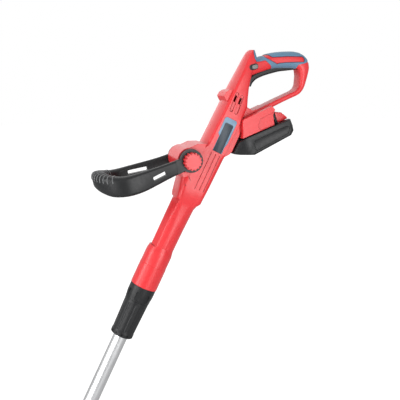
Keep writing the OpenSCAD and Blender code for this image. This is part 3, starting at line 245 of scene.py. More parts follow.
# each moulding's colour, colour of the painted shade in grooves and creases, colour of the painted highlight
# on edges, roughness, grain, edge radius and record slot
plastics = {
    "redPlastic": {"colour": (0.700, 0.030, 0.036), "deep": (0.26, 0.004, 0.008), "edgeShading": (0.92, 0.26, 0.26),
                   "rough": (0.27, 0.34), "grain": 1500.0, "depth": 0.000010, "round": 0.0009,
                   "sheenLevel": 0.4, "slot": "red_plastic"},
    # a darker copy of the red, for thin lines of painted shade along the rims of recesses
    "deepRed": {"colour": (0.30, 0.006, 0.010), "deep": (0.16, 0.003, 0.005), "edgeShading": (0.4, 0.02, 0.03),
                "rough": (0.4, 0.5), "grain": 1500.0, "depth": 0.000006, "round": 0.0002, "sheenLevel": 0.3},
    "deepBlue": {"colour": (0.022, 0.045, 0.085), "deep": (0.01, 0.02, 0.04), "edgeShading": (0.05, 0.09, 0.14),
                 "rough": (0.45, 0.55), "grain": 1100.0, "depth": 0.000006, "round": 0.0002,
                 "sheenLevel": 0.3},
    # a grey far lighter than the dark plastic, a painted highlight along the loop's thin ridges
    "ridgeGrey": {"colour": (0.130, 0.132, 0.136), "deep": (0.004, 0.004, 0.005), "edgeShading": (0.30, 0.305, 0.31),
                  "rough": (0.26, 0.34), "grain": 1300.0, "depth": 0.000008, "round": 0.0003,
                  "sheenLevel": 0.5},
    "darkPlastic": {"colour": (0.012, 0.0125, 0.0135), "deep": (0.004, 0.004, 0.005),
                    "edgeShading": (0.13, 0.135, 0.14), "rough": (0.33, 0.41), "grain": 1300.0, "depth": 0.000012,
                    "round": 0.0008, "sheenLevel": 0.26, "slot": "dark_plastic"},
    "greyButton": {"colour": (0.19, 0.19, 0.185), "deep": (0.02, 0.02, 0.02), "edgeShading": (0.34, 0.34, 0.34),
                   "rough": (0.4, 0.5), "grain": 1300.0, "depth": 0.00001, "round": 0.0006,
                   "sheenLevel": 0.4, "slot": "grey_button"},
    "frameBlue": {"colour": (0.15, 0.27, 0.39), "deep": (0.05, 0.10, 0.15), "edgeShading": (0.42, 0.56, 0.68),
                  "rough": (0.36, 0.46), "grain": 1400.0, "depth": 0.000010, "round": 0.0005,
                  "sheenLevel": 0.5, "slot": "frame_blue"},
    "plateGrey": {"colour": (0.038, 0.052, 0.068), "deep": (0.02, 0.03, 0.04), "edgeShading": (0.16, 0.2, 0.24),
                  "rough": (0.3, 0.4), "grain": 1800.0, "depth": 0.000008, "round": 0.0004,
                  "sheenLevel": 0.25, "slot": "plate_grey"},
    "naturalNylon": {"colour": (0.54, 0.54, 0.50), "deep": (0.3, 0.3, 0.27), "edgeShading": (0.75, 0.75, 0.72),
                     "rough": (0.4, 0.55), "grain": 700.0, "depth": 0.00002, "round": 0.0006,
                     "sheenLevel": 0.5, "slot": "natural_nylon"},
    "orangeNylon": {"colour": (0.70, 0.16, 0.02), "deep": (0.4, 0.07, 0.01), "edgeShading": (0.9, 0.4, 0.15),
                    "rough": (0.36, 0.5), "grain": 800.0, "depth": 0.00002, "round": 0.0006,
                    "sheenLevel": 0.5, "slot": "orange_nylon"},
    "lineYellow": {"colour": (0.72, 0.66, 0.06), "deep": (0.4, 0.35, 0.02), "edgeShading": (0.9, 0.86, 0.4),
                   "rough": (0.22, 0.35), "grain": 600.0, "depth": 0.000008, "round": 0.0002,
                   "sheenLevel": 0.5, "slot": "line_yellow"},
    "cellWrap": {"colour": (0.10, 0.32, 0.44), "deep": (0.04, 0.15, 0.22), "edgeShading": (0.4, 0.6, 0.7),
                 "rough": (0.16, 0.28), "grain": 300.0, "depth": 0.00002, "round": 0.0006,
                 "sheenLevel": 0.5, "slot": "cell_wrap"},
    "boardGreen": {"colour": (0.03, 0.19, 0.09), "deep": (0.01, 0.08, 0.04), "edgeShading": (0.3, 0.45, 0.3),
                   "rough": (0.2, 0.34), "grain": 900.0, "depth": 0.000008, "round": 0.0002,
                   "sheenLevel": 0.5, "slot": "board_green"},
}
rubbers = {
    "blueSoft": {"colour": (0.105, 0.215, 0.325), "deep": (0.018, 0.045, 0.08), "edgeShading": (0.22, 0.36, 0.48),
                 "rough": (0.5, 0.62), "grain": 1100.0, "depth": 0.00004, "round": 0.0006,
                 "sheen": 0.2, "slot": "blue_soft"},
    "cableBlack": {"colour": (0.018, 0.018, 0.019), "deep": (0.006, 0.006, 0.006), "edgeShading": (0.06, 0.06, 0.06),
                   "rough": (0.5, 0.65), "grain": 700.0, "depth": 0.00004, "round": 0.0004,
                   "sheen": 0.1, "slot": "cable_black"},
}
# how dark the slow tint goes and how strongly the painted highlight shows on edges
plasticTintAndEdgeLight = {"tint": 0.93, "edgeLightAmount": 0.3}
rubberTintAndEdgeLight = {"tint": 0.88, "edgeLightAmount": 0.4, "sheenSpread": 0.4}


def makeMoulded(name, look, tintAndEdgeLight):
    material, tree, shader = startMaterial(name, look)
    grain = placeGroup(tree, mouldGrain, grainSize=look["grain"])
    edgeShading = placeGroup(tree, edgeLightAndShade, roundTo=look["round"], amount=tintAndEdgeLight["edgeLightAmount"])
    tinted = tuple(channel * tintAndEdgeLight["tint"] for channel in look["colour"])
    colour = mixColour(tree, grain["tint"], look["colour"], tinted)
    # the lighter colour is a painted highlight on edges, the darker one painted shade in creases
    colour = mixColour(tree, edgeShading["edge"], colour, look["edgeShading"])
    colour = mixColour(tree, edgeShading["creaseShade"], colour, look["deep"])
    dressShader(tree, shader, look, colour, grain["sheenMask"], grain["height"], edgeShading["rounded"])
    return material, shader


def makePlastic(name, look):
    material, shader = makeMoulded(name, look, plasticTintAndEdgeLight)
    shader.inputs["Specular IOR Level"].default_value = look["sheenLevel"]
    return material


def makeRubber(name, look):
    material, shader = makeMoulded(name, look, rubberTintAndEdgeLight)
    shader.inputs["Sheen Weight"].default_value = look["sheen"]
    shader.inputs["Sheen Roughness"].default_value = rubberTintAndEdgeLight["sheenSpread"]
    return material


# the shaft starts at the head's tilt axis, in millimetres, and its length reaches the handle end
shaftPlace = {"hinge": (14.0, 0.0, 160.0), "lean": math.radians(26.0), "length": 510.0}
unturned = (0.0, 0.0, 0.0)
# turn and squeeze lay each metal's lines along its own axis
metals = {
    "zincSteel": {"colour": (0.60, 0.61, 0.62), "deep": (0.42, 0.43, 0.45), "rough": (0.22, 0.38),
                  "turn": unturned, "squeeze": (60.0, 60.0, 60.0), "depth": 0.000004, "round": 0.0003,
                  "slot": "steel"},
    "drawnTube": {"colour": (0.62, 0.625, 0.63), "deep": (0.54, 0.545, 0.555), "rough": (0.30, 0.36),
                  "turn": (0.0, -shaftPlace["lean"], 0.0), "squeeze": (600.0, 600.0, 3.0), "depth": 0.000003,
                  "round": 0.0004, "slot": "tube_aluminium"},
    "turnedBrass": {"colour": (0.78, 0.55, 0.22), "deep": (0.6, 0.4, 0.14), "rough": (0.22, 0.36),
                    "turn": unturned, "squeeze": (500.0, 500.0, 20.0), "depth": 0.000004, "round": 0.0003,
                    "slot": "brass"},
    "woundCopper": {"colour": (0.62, 0.27, 0.10), "deep": (0.4, 0.15, 0.05), "rough": (0.25, 0.4),
                    "turn": unturned, "squeeze": (8.0, 8.0, 1400.0), "depth": 0.0002, "round": 0.0003,
                    "slot": "copper"},
    "canSteel": {"colour": (0.42, 0.43, 0.44), "deep": (0.28, 0.29, 0.3), "rough": (0.28, 0.42),
                 "turn": unturned, "squeeze": (300.0, 300.0, 6.0), "depth": 0.000005, "round": 0.0004,
                 "slot": "can_steel"},
}
creaseShadeShare = 0.3


def makeMetal(name, look):
    material, tree, shader = startMaterial(name, look)
    drawn = placeGroup(tree, drawnLines, turn=look["turn"], squeeze=look["squeeze"])
    edgeShading = placeGroup(tree, edgeLightAndShade, roundTo=look["round"], amount=0.0)
    # painted shade in creases on metal: a darker share of the metal's dark tone
    creaseShadeColour = tuple(channel * creaseShadeShare for channel in look["deep"])
    colour = mixColour(tree, drawn["lines"], look["colour"], look["deep"])
    colour = mixColour(tree, edgeShading["creaseShade"], colour, creaseShadeColour)
    dressShader(tree, shader, look, colour, drawn["smear"], drawn["lines"], edgeShading["rounded"])
    shader.inputs["Metallic"].default_value = 1.0
    return material


finishes = {}
finishOfSlot = {}
for looks, makeFinish in ((plastics, makePlastic), (rubbers, makeRubber), (metals, makeMetal)):
    for name, look in looks.items():
        finishes[name] = makeFinish(name, look)
        if "slot" in look:
            finishOfSlot[look["slot"]] = finishes[name]
print("finishes built:", len(finishes))

# edges sharper than these stay crisp, on the CAD nodes and on the pieces made here
crispAngle = {"node": math.radians(32.0), "piece": math.radians(38.0)}
weldReach = 0.00001


def makeSmoothByAngle():
    tree, value, out = newShapeGroup("smoothByAngle",
        [("mergeReach", "NodeSocketFloat", weldReach), ("sharpAngle", "NodeSocketFloat", crispAngle["node"])])
    merge = addNode(tree, "GeometryNodeMergeByDistance", (-600, 0),
                    {"Geometry": value["Geometry"], "Distance": value["mergeReach"]})
    faces = addNode(tree, "GeometryNodeSetShadeSmooth", (-300, 0), {"Geometry": merge.outputs["Geometry"]},
                    domain="FACE")
    angle = addNode(tree, "GeometryNodeInputMeshEdgeAngle", (-600, -300)).outputs["Unsigned Angle"]
    sharp = addNode(tree, "FunctionNodeCompare", (-300, -300), {0: angle, 1: value["sharpAngle"]},
                    operation="GREATER_THAN")
    edges = addNode(tree, "GeometryNodeSetShadeSmooth", (0, 0),
                    {"Geometry": faces.outputs["Geometry"], "Selection": sharp.outputs["Result"],
                     "Shade Smooth": False}, domain="EDGE")
    feed(tree, out["Geometry"], edges.outputs["Geometry"])
    return tree


smoothByAngle = makeSmoothByAngle()


def socketId(tree, name):
    return next(item.identifier for item in tree.interface.items_tree
                if item.item_type == "SOCKET" and item.in_out == "INPUT" and item.name == name)


def addTree(piece, tree, **values):
    modifier = piece.modifiers.new(tree.name, "NODES")
    modifier.node_group = tree
    for name, value in values.items():
        modifier[socketId(tree, name)] = value
    return modifier


# edge width of the pieces whose few flat faces take a true bevel, in metres
bevelled = {
    "battery_case": 0.0016, "battery_tower": 0.0004, "battery_latch_button": 0.0007, "badge_frame": 0.0003,
    "badge_plate": 0.0002, "lock_off_button": 0.0008, "control_board": 0.0002, "dock_terminals": 0.0002,
}
softEdge = {"segments": 2, "angle": math.radians(30.0)}
slotOf = {row["node"]: row["material_slot"] for row in frame["record"]["subparts"]}


def dressNodes():
    for name, node in frame["nodes"].items():
        node.data.materials.clear()
        node.data.materials.append(finishOfSlot[slotOf[name]])
        if name in bevelled:
            weld = node.modifiers.new("weld", "WELD")
            weld.merge_threshold = weldReach
            bevel = node.modifiers.new("softEdge", "BEVEL")
            bevel.width = bevelled[name]
            bevel.segments = softEdge["segments"]
            bevel.limit_method = "ANGLE"
            bevel.angle_limit = softEdge["angle"]
        addTree(node, smoothByAngle, sharpAngle=crispAngle["node"])


dressNodes()
print("CAD nodes dressed")

millimetre = 0.001


def shaftPoint(x, y, z):
    # a point of the handle end, in the shaft's millimetres, as a place in the room
    lean = shaftPlace["lean"]
    along = shaftPlace["length"] + z
    hinge = shaftPlace["hinge"]
    return Vector((hinge[0] + along * math.sin(lean) + x * math.cos(lean), hinge[1] + y,
                   hinge[2] + along * math.cos(lean) - x * math.sin(lean))) * millimetre


def turnedPoint(middle, degrees, ahead, y, up):
    # the same for a point measured ahead and up from a middle, along directions turned from the shaft's
    turn = math.radians(degrees)
    return shaftPoint(middle[0] + ahead * math.cos(turn) - up * math.sin(turn), y,
                      middle[1] + ahead * math.sin(turn) + up * math.cos(turn))


def pointPiece(name, points, faces=(), edges=()):
    mesh = bpy.data.meshes.new(name)
    mesh.from_pydata([tuple(point) for point in points], list(edges), list(faces))
    piece = bpy.data.objects.new(name, mesh)
    bpy.context.collection.objects.link(piece)
    return piece


def runSeed(name, runs, closed=False):
    # each run's points joined in order by edges, and back to its start if it is closed
    points = []
    edges = []
    for run in runs:
        start = len(points)
        points.extend(run)
        edges.extend((start + i, start + i + 1) for i in range(len(run) - 1))
        if closed:
            edges.append((start + len(run) - 1, start))
    return pointPiece(name + "Seed", points, edges=edges)


def settlePiece(piece, body, replaced=()):
    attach(piece, body)
    if replaced:
        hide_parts(*replaced)
    addTree(piece, smoothByAngle, sharpAngle=crispAngle["piece"])


def growPiece(name, seed, tree, values, body, replaced=()):
    # runs a tree on its seed and keeps the result as one plain mesh on its body
    modifier = addTree(seed, tree, **values)
    bpy.context.view_layer.update()
    grown = bpy.data.meshes.new_from_object(seed.evaluated_get(bpy.context.evaluated_depsgraph_get()))
    seed.modifiers.remove(modifier)
    bpy.data.objects.remove(seed)
    grown.name = name
    piece = bpy.data.objects.new(name, grown)
    bpy.context.collection.objects.link(piece)
    settlePiece(piece, body, replaced)
    print(name, "grown:", len(grown.polygons), "faces")


def joinAll(tree, parts):
    join = addNode(tree, "GeometryNodeJoinGeometry", (300, 0))
    for part in parts:
        feed(tree, join.inputs[0], part)
    return join.outputs[0]


def moveBy(tree, shape, offset):
    feeds = {"Geometry": shape, "Translation": offset}
    return addNode(tree, "GeometryNodeTransform", (-300, 0), feeds).outputs["Geometry"]


def shiftPoints(tree, points, **move):
    return addNode(tree, "GeometryNodeSetPosition", (0, 0), {"Geometry": points, **move}).outputs["Geometry"]


def setOnPoints(tree, points, shape, **placing):
    feeds = {"Points": points, "Instance": shape, **placing}
    return addNode(tree, "GeometryNodeInstanceOnPoints", (100, 0), feeds).outputs[0]


def copyPoints(tree, points, count):
    copies = addNode(tree, "GeometryNodeDuplicateElements", (-300, 0), {"Geometry": points, "Amount": count},
                     domain="POINT")
    return copies.outputs["Geometry"], copies.outputs["Duplicate Index"]


def makeReal(tree, shape):
    return addNode(tree, "GeometryNodeRealizeInstances", (500, 0), {0: shape}).outputs[0]


def rodNode(tree, sides, radius, depth):
    feeds = {"Vertices": sides, "Radius": radius, "Depth": depth}
    return addNode(tree, "GeometryNodeMeshCylinder", (-500, 0), feeds, fill_type="NGON").outputs["Mesh"]


def circleNode(tree, sides, radius):
    return addNode(tree, "GeometryNodeCurvePrimitiveCircle", (-500, -300),
                   {"Resolution": sides, "Radius": radius}).outputs["Curve"]


def sweepNode(tree, curve, section, capped=False):
    feeds = {"Curve": curve, "Profile Curve": section, "Fill Caps": capped}
    return addNode(tree, "GeometryNodeCurveToMesh", (-200, 0), feeds).outputs["Mesh"]


def edgesToCurve(tree, edges):
    return addNode(tree, "GeometryNodeMeshToCurve", (-700, 0), {"Mesh": edges}).outputs["Curve"]


def finishTree(tree, shape, finish, out):
    # every tree ends by making its copies real and giving them their finish
    dressed = addNode(tree, "GeometryNodeSetMaterial", (700, 0),
                      {"Geometry": makeReal(tree, shape), "Material": finish})
    feed(tree, out["Geometry"], dressed.outputs[0])


# sides of the screw's rounds, and its parts as shares of the head, the shank and the thread's pitch
screwShape = {"headSides": 32, "rim": 0.5, "crown": 0.72, "lobes": 6, "lobeFoot": 0.30, "lobeTip": 0.44,
              "socketFloor": 0.35, "socketTop": 1.5, "shankSides": 20, "core": 0.84, "toothSides": 4,
              "tooth": 0.155, "firstTooth": 0.6}


def panHead(tree, radius, height):
    # a rim with a narrowing crown on it, and a six-lobed socket cut down into both
    share = screwShape
    rimHeight = times(tree, height, share["rim"])
    rim = moveBy(tree, rodNode(tree, share["headSides"], radius, rimHeight),
                 vectorOf(tree, z=times(tree, rimHeight, 0.5)))
    cone = addNode(tree, "GeometryNodeMeshCone", (-500, 100),
                   {"Vertices": share["headSides"], "Radius Top": times(tree, radius, share["crown"]),
                    "Radius Bottom": radius, "Depth": rimHeight}, fill_type="NGON")
    crown = moveBy(tree, cone.outputs["Mesh"], vectorOf(tree, z=rimHeight))
    star = addNode(tree, "GeometryNodeCurveStar", (-700, -100),
                   {"Points": share["lobes"], "Inner Radius": times(tree, radius, share["lobeFoot"]),
                    "Outer Radius": times(tree, radius, share["lobeTip"])})
    axis = addNode(tree, "GeometryNodeCurvePrimitiveLine", (-700, -300),
                   {"Start": vectorOf(tree, z=times(tree, height, share["socketFloor"])),
                    "End": vectorOf(tree, z=times(tree, height, share["socketTop"]))})
    socket = sweepNode(tree, axis.outputs[0], star.outputs["Curve"], capped=True)
    pan = addNode(tree, "GeometryNodeMeshBoolean", (-200, 200), {"Mesh 2": rim}, operation="UNION",
                  solver="EXACT")
    feed(tree, pan.inputs["Mesh 2"], crown)
    feeds = {"Mesh 1": pan.outputs["Mesh"], "Mesh 2": socket}
    return addNode(tree, "GeometryNodeMeshBoolean", (-100, 100), feeds, operation="DIFFERENCE",
                   solver="EXACT").outputs["Mesh"]


def threadPoints(tree, points, length, pitch, turn):
    # copies of each screw's point, one pitch apart along its shank
    count = mathNode(tree, "FLOOR", mathNode(tree, "DIVIDE", length, pitch))
    copies, index = copyPoints(tree, points, count)
    down = times(tree, times(tree, plus(tree, index, screwShape["firstTooth"]), pitch), -1.0)
    return shiftPoints(tree, copies, Offset=turnVector(tree, vectorOf(tree, z=down), turn))


def makeScrewTree():
    # a pan head, and a threaded shank that runs down -Z from the head's seat
    tree, value, out = newShapeGroup("panScrew",
        [("headRadius", "NodeSocketFloat", 0.0035), ("headHeight", "NodeSocketFloat", 0.0024),
         ("shankRadius", "NodeSocketFloat", 0.0019), ("turn", "NodeSocketVector", None),
         ("threadPitch", "NodeSocketFloat", 0.0014)])
    seats, turn = value["Geometry"], value["turn"]
    length = addNode(tree, "GeometryNodeInputNamedAttribute", (-700, 300), {"Name": "shankLength"},
                     data_type="FLOAT").outputs["Attribute"]
    heads = setOnPoints(tree, seats, panHead(tree, value["headRadius"], value["headHeight"]), Rotation=turn)
    # the rod is one metre long, and each screw's length scales it
    core = times(tree, value["shankRadius"], screwShape["core"])
    rod = moveBy(tree, rodNode(tree, screwShape["shankSides"], core, 1.0), (0.0, 0.0, -0.5))
    rods = setOnPoints(tree, seats, rod, Rotation=turn, Scale=vectorOf(tree, 1.0, 1.0, length))
    # rings on the rod stand for the thread
    tooth = circleNode(tree, screwShape["toothSides"], times(tree, value["shankRadius"], screwShape["tooth"]))
    ring = sweepNode(tree, circleNode(tree, screwShape["shankSides"], core), tooth)
    feet = threadPoints(tree, seats, length, value["threadPitch"], turn)
    threads = setOnPoints(tree, feet, ring, Rotation=turn)
    finishTree(tree, joinAll(tree, (heads, rods, threads)), finishes["zincSteel"], out)
    return tree


screwTree = makeScrewTree()


def addScrews(name, look):
    seed = pointPiece(name + "Seed", look["seats"])
    lengths = seed.data.attributes.new("shankLength", "FLOAT", "POINT")
    for row, length in zip(lengths.data, look["lengths"]):
        row.value = length
    growPiece(name, seed, screwTree, look["shape"], look["body"], (look["replaces"],))


quarterTurn = math.radians(90.0)
# seats of the case screws along the shaft as x, z and depth from the middle, in millimetres
caseSeats = [(17.8, 96, 12), (17.8, 150, 12), (21.4, 204, 18), (24.6, 288, 18), (-4.6, 330, 18),
             (-3.6, 372, 18), (0, 436, 14), (56, 391.5, 14), (47.2, 510.6, 10), (112.4, 505.5, 10)]
caseGap = 3  # how far short of the far side a case screw ends
housingScrews = {
    "seats": [shaftPoint(x, seat, z) for x, z, seat in caseSeats],
    "lengths": [(2 * seat - caseGap) * millimetre for x, z, seat in caseSeats],
    "shape": {"headRadius": 0.0035, "headHeight": 0.0024, "shankRadius": 0.0019, "threadPitch": 0.0014,
              "turn": (-quarterTurn, 0.0, 0.0)},
    "body": "handle", "replaces": "housing_screws",
}
addScrews("housingScrews", housingScrews)

yokeSeats = {"side": -17.6, "heights": (42, 62), "length": 0.0034}
yokeScrews = {
    "seats": [shaftPoint(0, yokeSeats["side"], z - shaftPlace["length"]) for z in yokeSeats["heights"]],
    "lengths": [yokeSeats["length"]] * len(yokeSeats["heights"]),
    "shape": {"headRadius": 0.0038, "headHeight": 0.0026, "shankRadius": 0.002, "threadPitch": 0.0011,
              "turn": (quarterTurn, 0.0, 0.0)},
    "body": "tube", "replaces": "yoke_screws",
}
addScrews("yokeScrews", yokeScrews)

guardSeats = {"reach": 31, "angles": [math.radians(degrees) for degrees in (45, 135, 225, 315)],
              "height": 49.4, "length": 0.0108}
guardScrews = {
    "seats": [Vector((guardSeats["reach"] * math.cos(angle), guardSeats["reach"] * math.sin(angle),
                      guardSeats["height"])) * millimetre for angle in guardSeats["angles"]],
    "lengths": [guardSeats["length"]] * len(guardSeats["angles"]),
    "shape": {"headRadius": 0.0036, "headHeight": 0.002, "shankRadius": 0.0015, "threadPitch": 0.0012,
              "turn": (2 * quarterTurn, 0.0, 0.0)},
    "body": "head", "replaces": "guard_screws",
}
addScrews("guardScrews", guardScrews)

# the pitch in line radii, each layer's rise as a share of the pitch, and a nudge that keeps a whole
# number from falling below itself
linePacking = {"pitch": 2.08, "layer": 0.87, "ringSides": 56, "lineSides": 8, "nudge": 0.01}


def makeLineTree():
    # turns of cutting line laid side by side and layer on layer round a spool
    tree, value, out = newShapeGroup("woundLine",
        [("coreRadius", "NodeSocketFloat", 0.0179), ("lineRadius", "NodeSocketFloat", 0.0008),
         ("layers", "NodeSocketInt", 8), ("turns", "NodeSocketInt", 5)])
    pitch = times(tree, value["lineRadius"], linePacking["pitch"])
    copies, index = copyPoints(tree, value["Geometry"], times(tree, value["layers"], value["turns"]))
    turn = mathNode(tree, "DIVIDE", plus(tree, index, linePacking["nudge"]), value["layers"])
    turn = mathNode(tree, "FLOOR", turn)
    layer = mathNode(tree, "SUBTRACT", index, times(tree, turn, value["layers"]))
    # odd layers lie in the hollows between the turns below
    hollow = times(tree, mathNode(tree, "MODULO", layer, 2.0), 0.5)
    feet = shiftPoints(tree, copies, Offset=vectorOf(tree, z=times(tree, plus(tree, turn, hollow), pitch)))
    reach = plus(tree, times(tree, layer, times(tree, pitch, linePacking["layer"])), value["coreRadius"])
    rings = setOnPoints(tree, feet, circleNode(tree, linePacking["ringSides"], 1.0),
                        Scale=vectorOf(tree, reach, reach, 1.0))
    section = circleNode(tree, linePacking["lineSides"], value["lineRadius"])
    finishTree(tree, sweepNode(tree, makeReal(tree, rings), section), finishes["lineYellow"], out)
    return tree


# a 1.6 mm line, wound on the lower and the upper half of the spool
woundLine = {"feet": (0.0155, 0.0259),
             "shape": {"coreRadius": 0.0179, "lineRadius": 0.0008, "layers": 8, "turns": 4}}
lineSeed = pointPiece("lineSeed", [(0.0, 0.0, foot) for foot in woundLine["feet"]])
growPiece("lineTurns", lineSeed, makeLineTree(), woundLine["shape"], "bump_feed",
          ("line_winding",))

stripSides = {"rib": 8, "seam": 6}


def makeSweepTree(name, finish):
    # a round strip swept along a run of edges, with its ends closed
    tree, value, out = newShapeGroup(name, [("stripRadius", "NodeSocketFloat", 0.0005)])
    section = circleNode(tree, stripSides["rib"], value["stripRadius"])
    strip = sweepNode(tree, edgesToCurve(tree, value["Geometry"]), section, capped=True)
    finishTree(tree, strip, finish, out)
    return tree


# the loop's frame: x along its arms, y to the near side, z away from the ground
loopPlace = {"pivot": (-32.0, 258.5), "turn": -142.2}
# the bow's rows as reach, side, lift, thickness and height, from the near corner to the far one
bowRows = [(128, 50.8, -14.8, 16.6, 37), (151, 38.8, -10.8, 20.6, 38), (164, 19.8, -4, 22.6, 35),
           (168, 0, 0, 23, 32), (164, -19.8, -4, 22.6, 35), (151, -38.8, -10.8, 20.6, 38),
           (128, -50.8, -14.8, 16.6, 37)]
# ridges under the palm, each wrapped over the bow's upper edge; places are counted in rows
bowRidges = {"count": 16, "from": 0.75, "to": 5.25, "skirt": 3.0, "radius": 0.0011, "corner": 0.8,
             "cornerSteps": 6, "sight": 0.02}


def smoothRow(rows, place):
    # a smooth curve through the rows, as the loop itself is drawn
    index = min(int(place), len(rows) - 2)
    share = place - index
    before, low, high, after = (rows[max(index - 1, 0)], rows[index], rows[index + 1],
                                rows[min(index + 2, len(rows) - 1)])
    return [0.5 * (2 * b + (c - a) * share + (2 * a - 5 * b + 4 * c - d) * share ** 2
                   + (3 * b - a - 3 * c + d) * share ** 3) for a, b, c, d in zip(before, low, high, after)]


def ridgeRun(place):
    reach, side, lift, width, height = smoothRow(bowRows, place)
    ahead = smoothRow(bowRows, place + bowRidges["sight"])
    behind = smoothRow(bowRows, place - bowRidges["sight"])
    along = Vector((ahead[0] - behind[0], ahead[1] - behind[1])).normalized()
    corner = bowRidges["corner"] * min(width / 2, height / 2)
    shoulder = height / 2 - corner
    outline = [(-width / 2, shoulder - bowRidges["skirt"])]
    for hand, first in ((-1, 180), (1, 90)):
        for i in range(bowRidges["cornerSteps"] + 1):
            angle = math.radians(first - 90 * i / bowRidges["cornerSteps"])
            outline.append((hand * (width / 2 - corner) + corner * math.cos(angle),
                            shoulder + corner * math.sin(angle)))
    outline.append((width / 2, shoulder - bowRidges["skirt"]))
    return [turnedPoint(loopPlace["pivot"], loopPlace["turn"], reach + across * along.y,
                        across * along.x - side, -(lift + rise)) for across, rise in outline]


ridgeStep = (bowRidges["to"] - bowRidges["from"]) / (bowRidges["count"] - 1)
ridgeRuns = [ridgeRun(bowRidges["from"] + ridgeStep * i) for i in range(bowRidges["count"])]
# the ridges' lighter grey is a painted highlight
ridgeStrip = makeSweepTree("ridgeStrip", finishes["ridgeGrey"])
growPiece("bowRidges", runSeed("bowRidges", ridgeRuns), ridgeStrip, {"stripRadius": bowRidges["radius"]},
          "loop", ("loop_grip",))

# the dock's frame on the shaft: ahead is along the battery's travel, up is away from the ground
dockPlace = {"origin": (50.2, 340.3), "turn": 47.2}


def dockPoint(ahead, y, up):
    return turnedPoint(dockPlace["origin"], dockPlace["turn"], ahead, y, up)


# the raised rim round the bare label field on each side of the battery
caseRims = {"side": 38.0, "radius": 0.0006,
            "outline": [(12, -28), (14, -30), (84, -24.5), (90, -18), (90, -13), (86, -9), (16, -11),
                        (12, -15)]}
rimRuns = [[dockPoint(ahead, side * caseRims["side"], up) for ahead, up in caseRims["outline"]]
           for side in (-1, 1)]
darkStrip = makeSweepTree("darkStrip", finishes["darkPlastic"])
growPiece("caseRims", runSeed("caseRims", rimRuns, closed=True), darkStrip,
          {"stripRadius": caseRims["radius"]}, "battery")


def stadiumLoop(length, height, steps):
    points = []
    for side, first in ((1, -90), (-1, 90)):
        for i in range(steps + 1):
            angle = math.radians(first + 180 * i / steps)
            points.append((side * (length - height) / 2 + height / 2 * math.cos(angle),
                           height / 2 * math.sin(angle)))
    return points


# dark oval surrounds of the lock-off button, one on each side
lockSurround = {"middle": (9.8, 468.8), "button": (11.6, 470.0), "lean": 38.0, "outer": (19.3, 10.8),
                "inner": (13.4, 8.9), "floor": 19.45, "face": 20.6, "steps": 10}


def makeLockSurround():
    look = lockSurround
    outer = stadiumLoop(*look["outer"], look["steps"])
    inner = stadiumLoop(*look["inner"], look["steps"])
    rings = [(outer, look["middle"], look["floor"]), (outer, look["middle"], look["face"]),
             (inner, look["button"], look["face"]), (inner, look["button"], look["floor"])]
    count = len(outer)
    points = []
    faces = []
    for side in (-1, 1):
        start = len(points)
        for loop, middle, y in rings:
            points += [turnedPoint(middle, look["lean"], x, side * y, z) for x, z in loop]
        for ring in range(len(rings)):
            here, beyond = start + ring * count, start + (ring + 1) % len(rings) * count
            for i in range(count):
                after = (i + 1) % count
                face = (here + i, here + after, beyond + after, beyond + i)
                faces.append(face[::-1] if side > 0 else face)
    piece = pointPiece("lockSurround", points, faces)
    piece.data.materials.append(finishes["darkPlastic"])
    settlePiece(piece, "handle")


makeLockSurround()


def makeShellLineTree(name, finish):
    # a thin line laid on a shell: its run is cast on the target along a direction and swept round
    tree, value, out = newShapeGroup(name,
        [("shell", "NodeSocketObject", None), ("castAlong", "NodeSocketVector", (0.0, 1.0, 0.0)),
         ("castReach", "NodeSocketFloat", 0.06), ("lift", "NodeSocketFloat", 0.0),
         ("stripRadius", "NodeSocketFloat", 0.0005), ("stepLength", "NodeSocketFloat", 0.002)])
    run = edgesToCurve(tree, value["Geometry"])
    steps = addNode(tree, "GeometryNodeResampleCurve", (-500, 0),
                    {"Curve": run, "Length": value["stepLength"]}, mode="LENGTH")
    shell = addNode(tree, "GeometryNodeObjectInfo", (-700, -300), {"Object": value["shell"]})
    cast = addNode(tree, "GeometryNodeRaycast", (-500, -300),
                   {"Target Geometry": shell.outputs["Geometry"], "Ray Direction": value["castAlong"],
                    "Ray Length": value["castReach"]})
    missed = addNode(tree, "FunctionNodeBooleanMath", (-500, -500), {0: cast.outputs["Is Hit"]},
                     operation="NOT")
    landed = addNode(tree, "GeometryNodeDeleteGeometry", (-350, 0),
                     {"Geometry": steps.outputs["Curve"], "Selection": missed.outputs["Boolean"]},
                     domain="POINT")
    # the run lies where the rays hit, raised against their direction
    lift = times(tree, value["lift"], -1.0)
    feeds = {0: value["castAlong"], 1: vectorOf(tree, lift, lift, lift), 2: cast.outputs["Hit Position"]}
    raised = addNode(tree, "ShaderNodeVectorMath", (-300, -300), feeds, operation="MULTIPLY_ADD")
    laid = shiftPoints(tree, landed.outputs["Geometry"], Position=raised.outputs["Vector"])
    section = circleNode(tree, stripSides["seam"], value["stripRadius"])
    finishTree(tree, sweepNode(tree, laid, section, capped=True), finish, out)
    return tree


# outline of the hard panel in the soft grip, along the shaft as x and z
panelEdge = [(17.1, 499.2), (24.4, 495.5), (51.8, 495.4), (54.5, 498.4), (66.5, 506), (100.6, 524.2),
             (98.6, 530), (93.5, 532.3), (66, 519), (36.7, 502.5), (26, 503.6)]
# middles of the two long tracks beside the vents, their size and their lean
tracks = {"middles": ((1.6, 392.2), (12.4, 392.0)), "size": (37.8, 6.4), "lean": 4.0, "steps": 8}
# the outline of the dock's recessed flat panel, ahead and up from the dock's origin, where a dark line of
# painted shade is laid
dockPanel = [(74, 25.2), (41, 23.5), (36, 19), (31.5, 10.5), (33.5, 3.5)]
# each line starts this far from the middle, in millimetres, and is cast inward on its shell
shellLineStart = 60.0
panelSeam = {"stripRadius": 0.00055, "lift": 0.0007}
shadeLineLook = {"stripRadius": 0.00045, "lift": 0.0}


def closedRun(points):
    return points + points[:1]


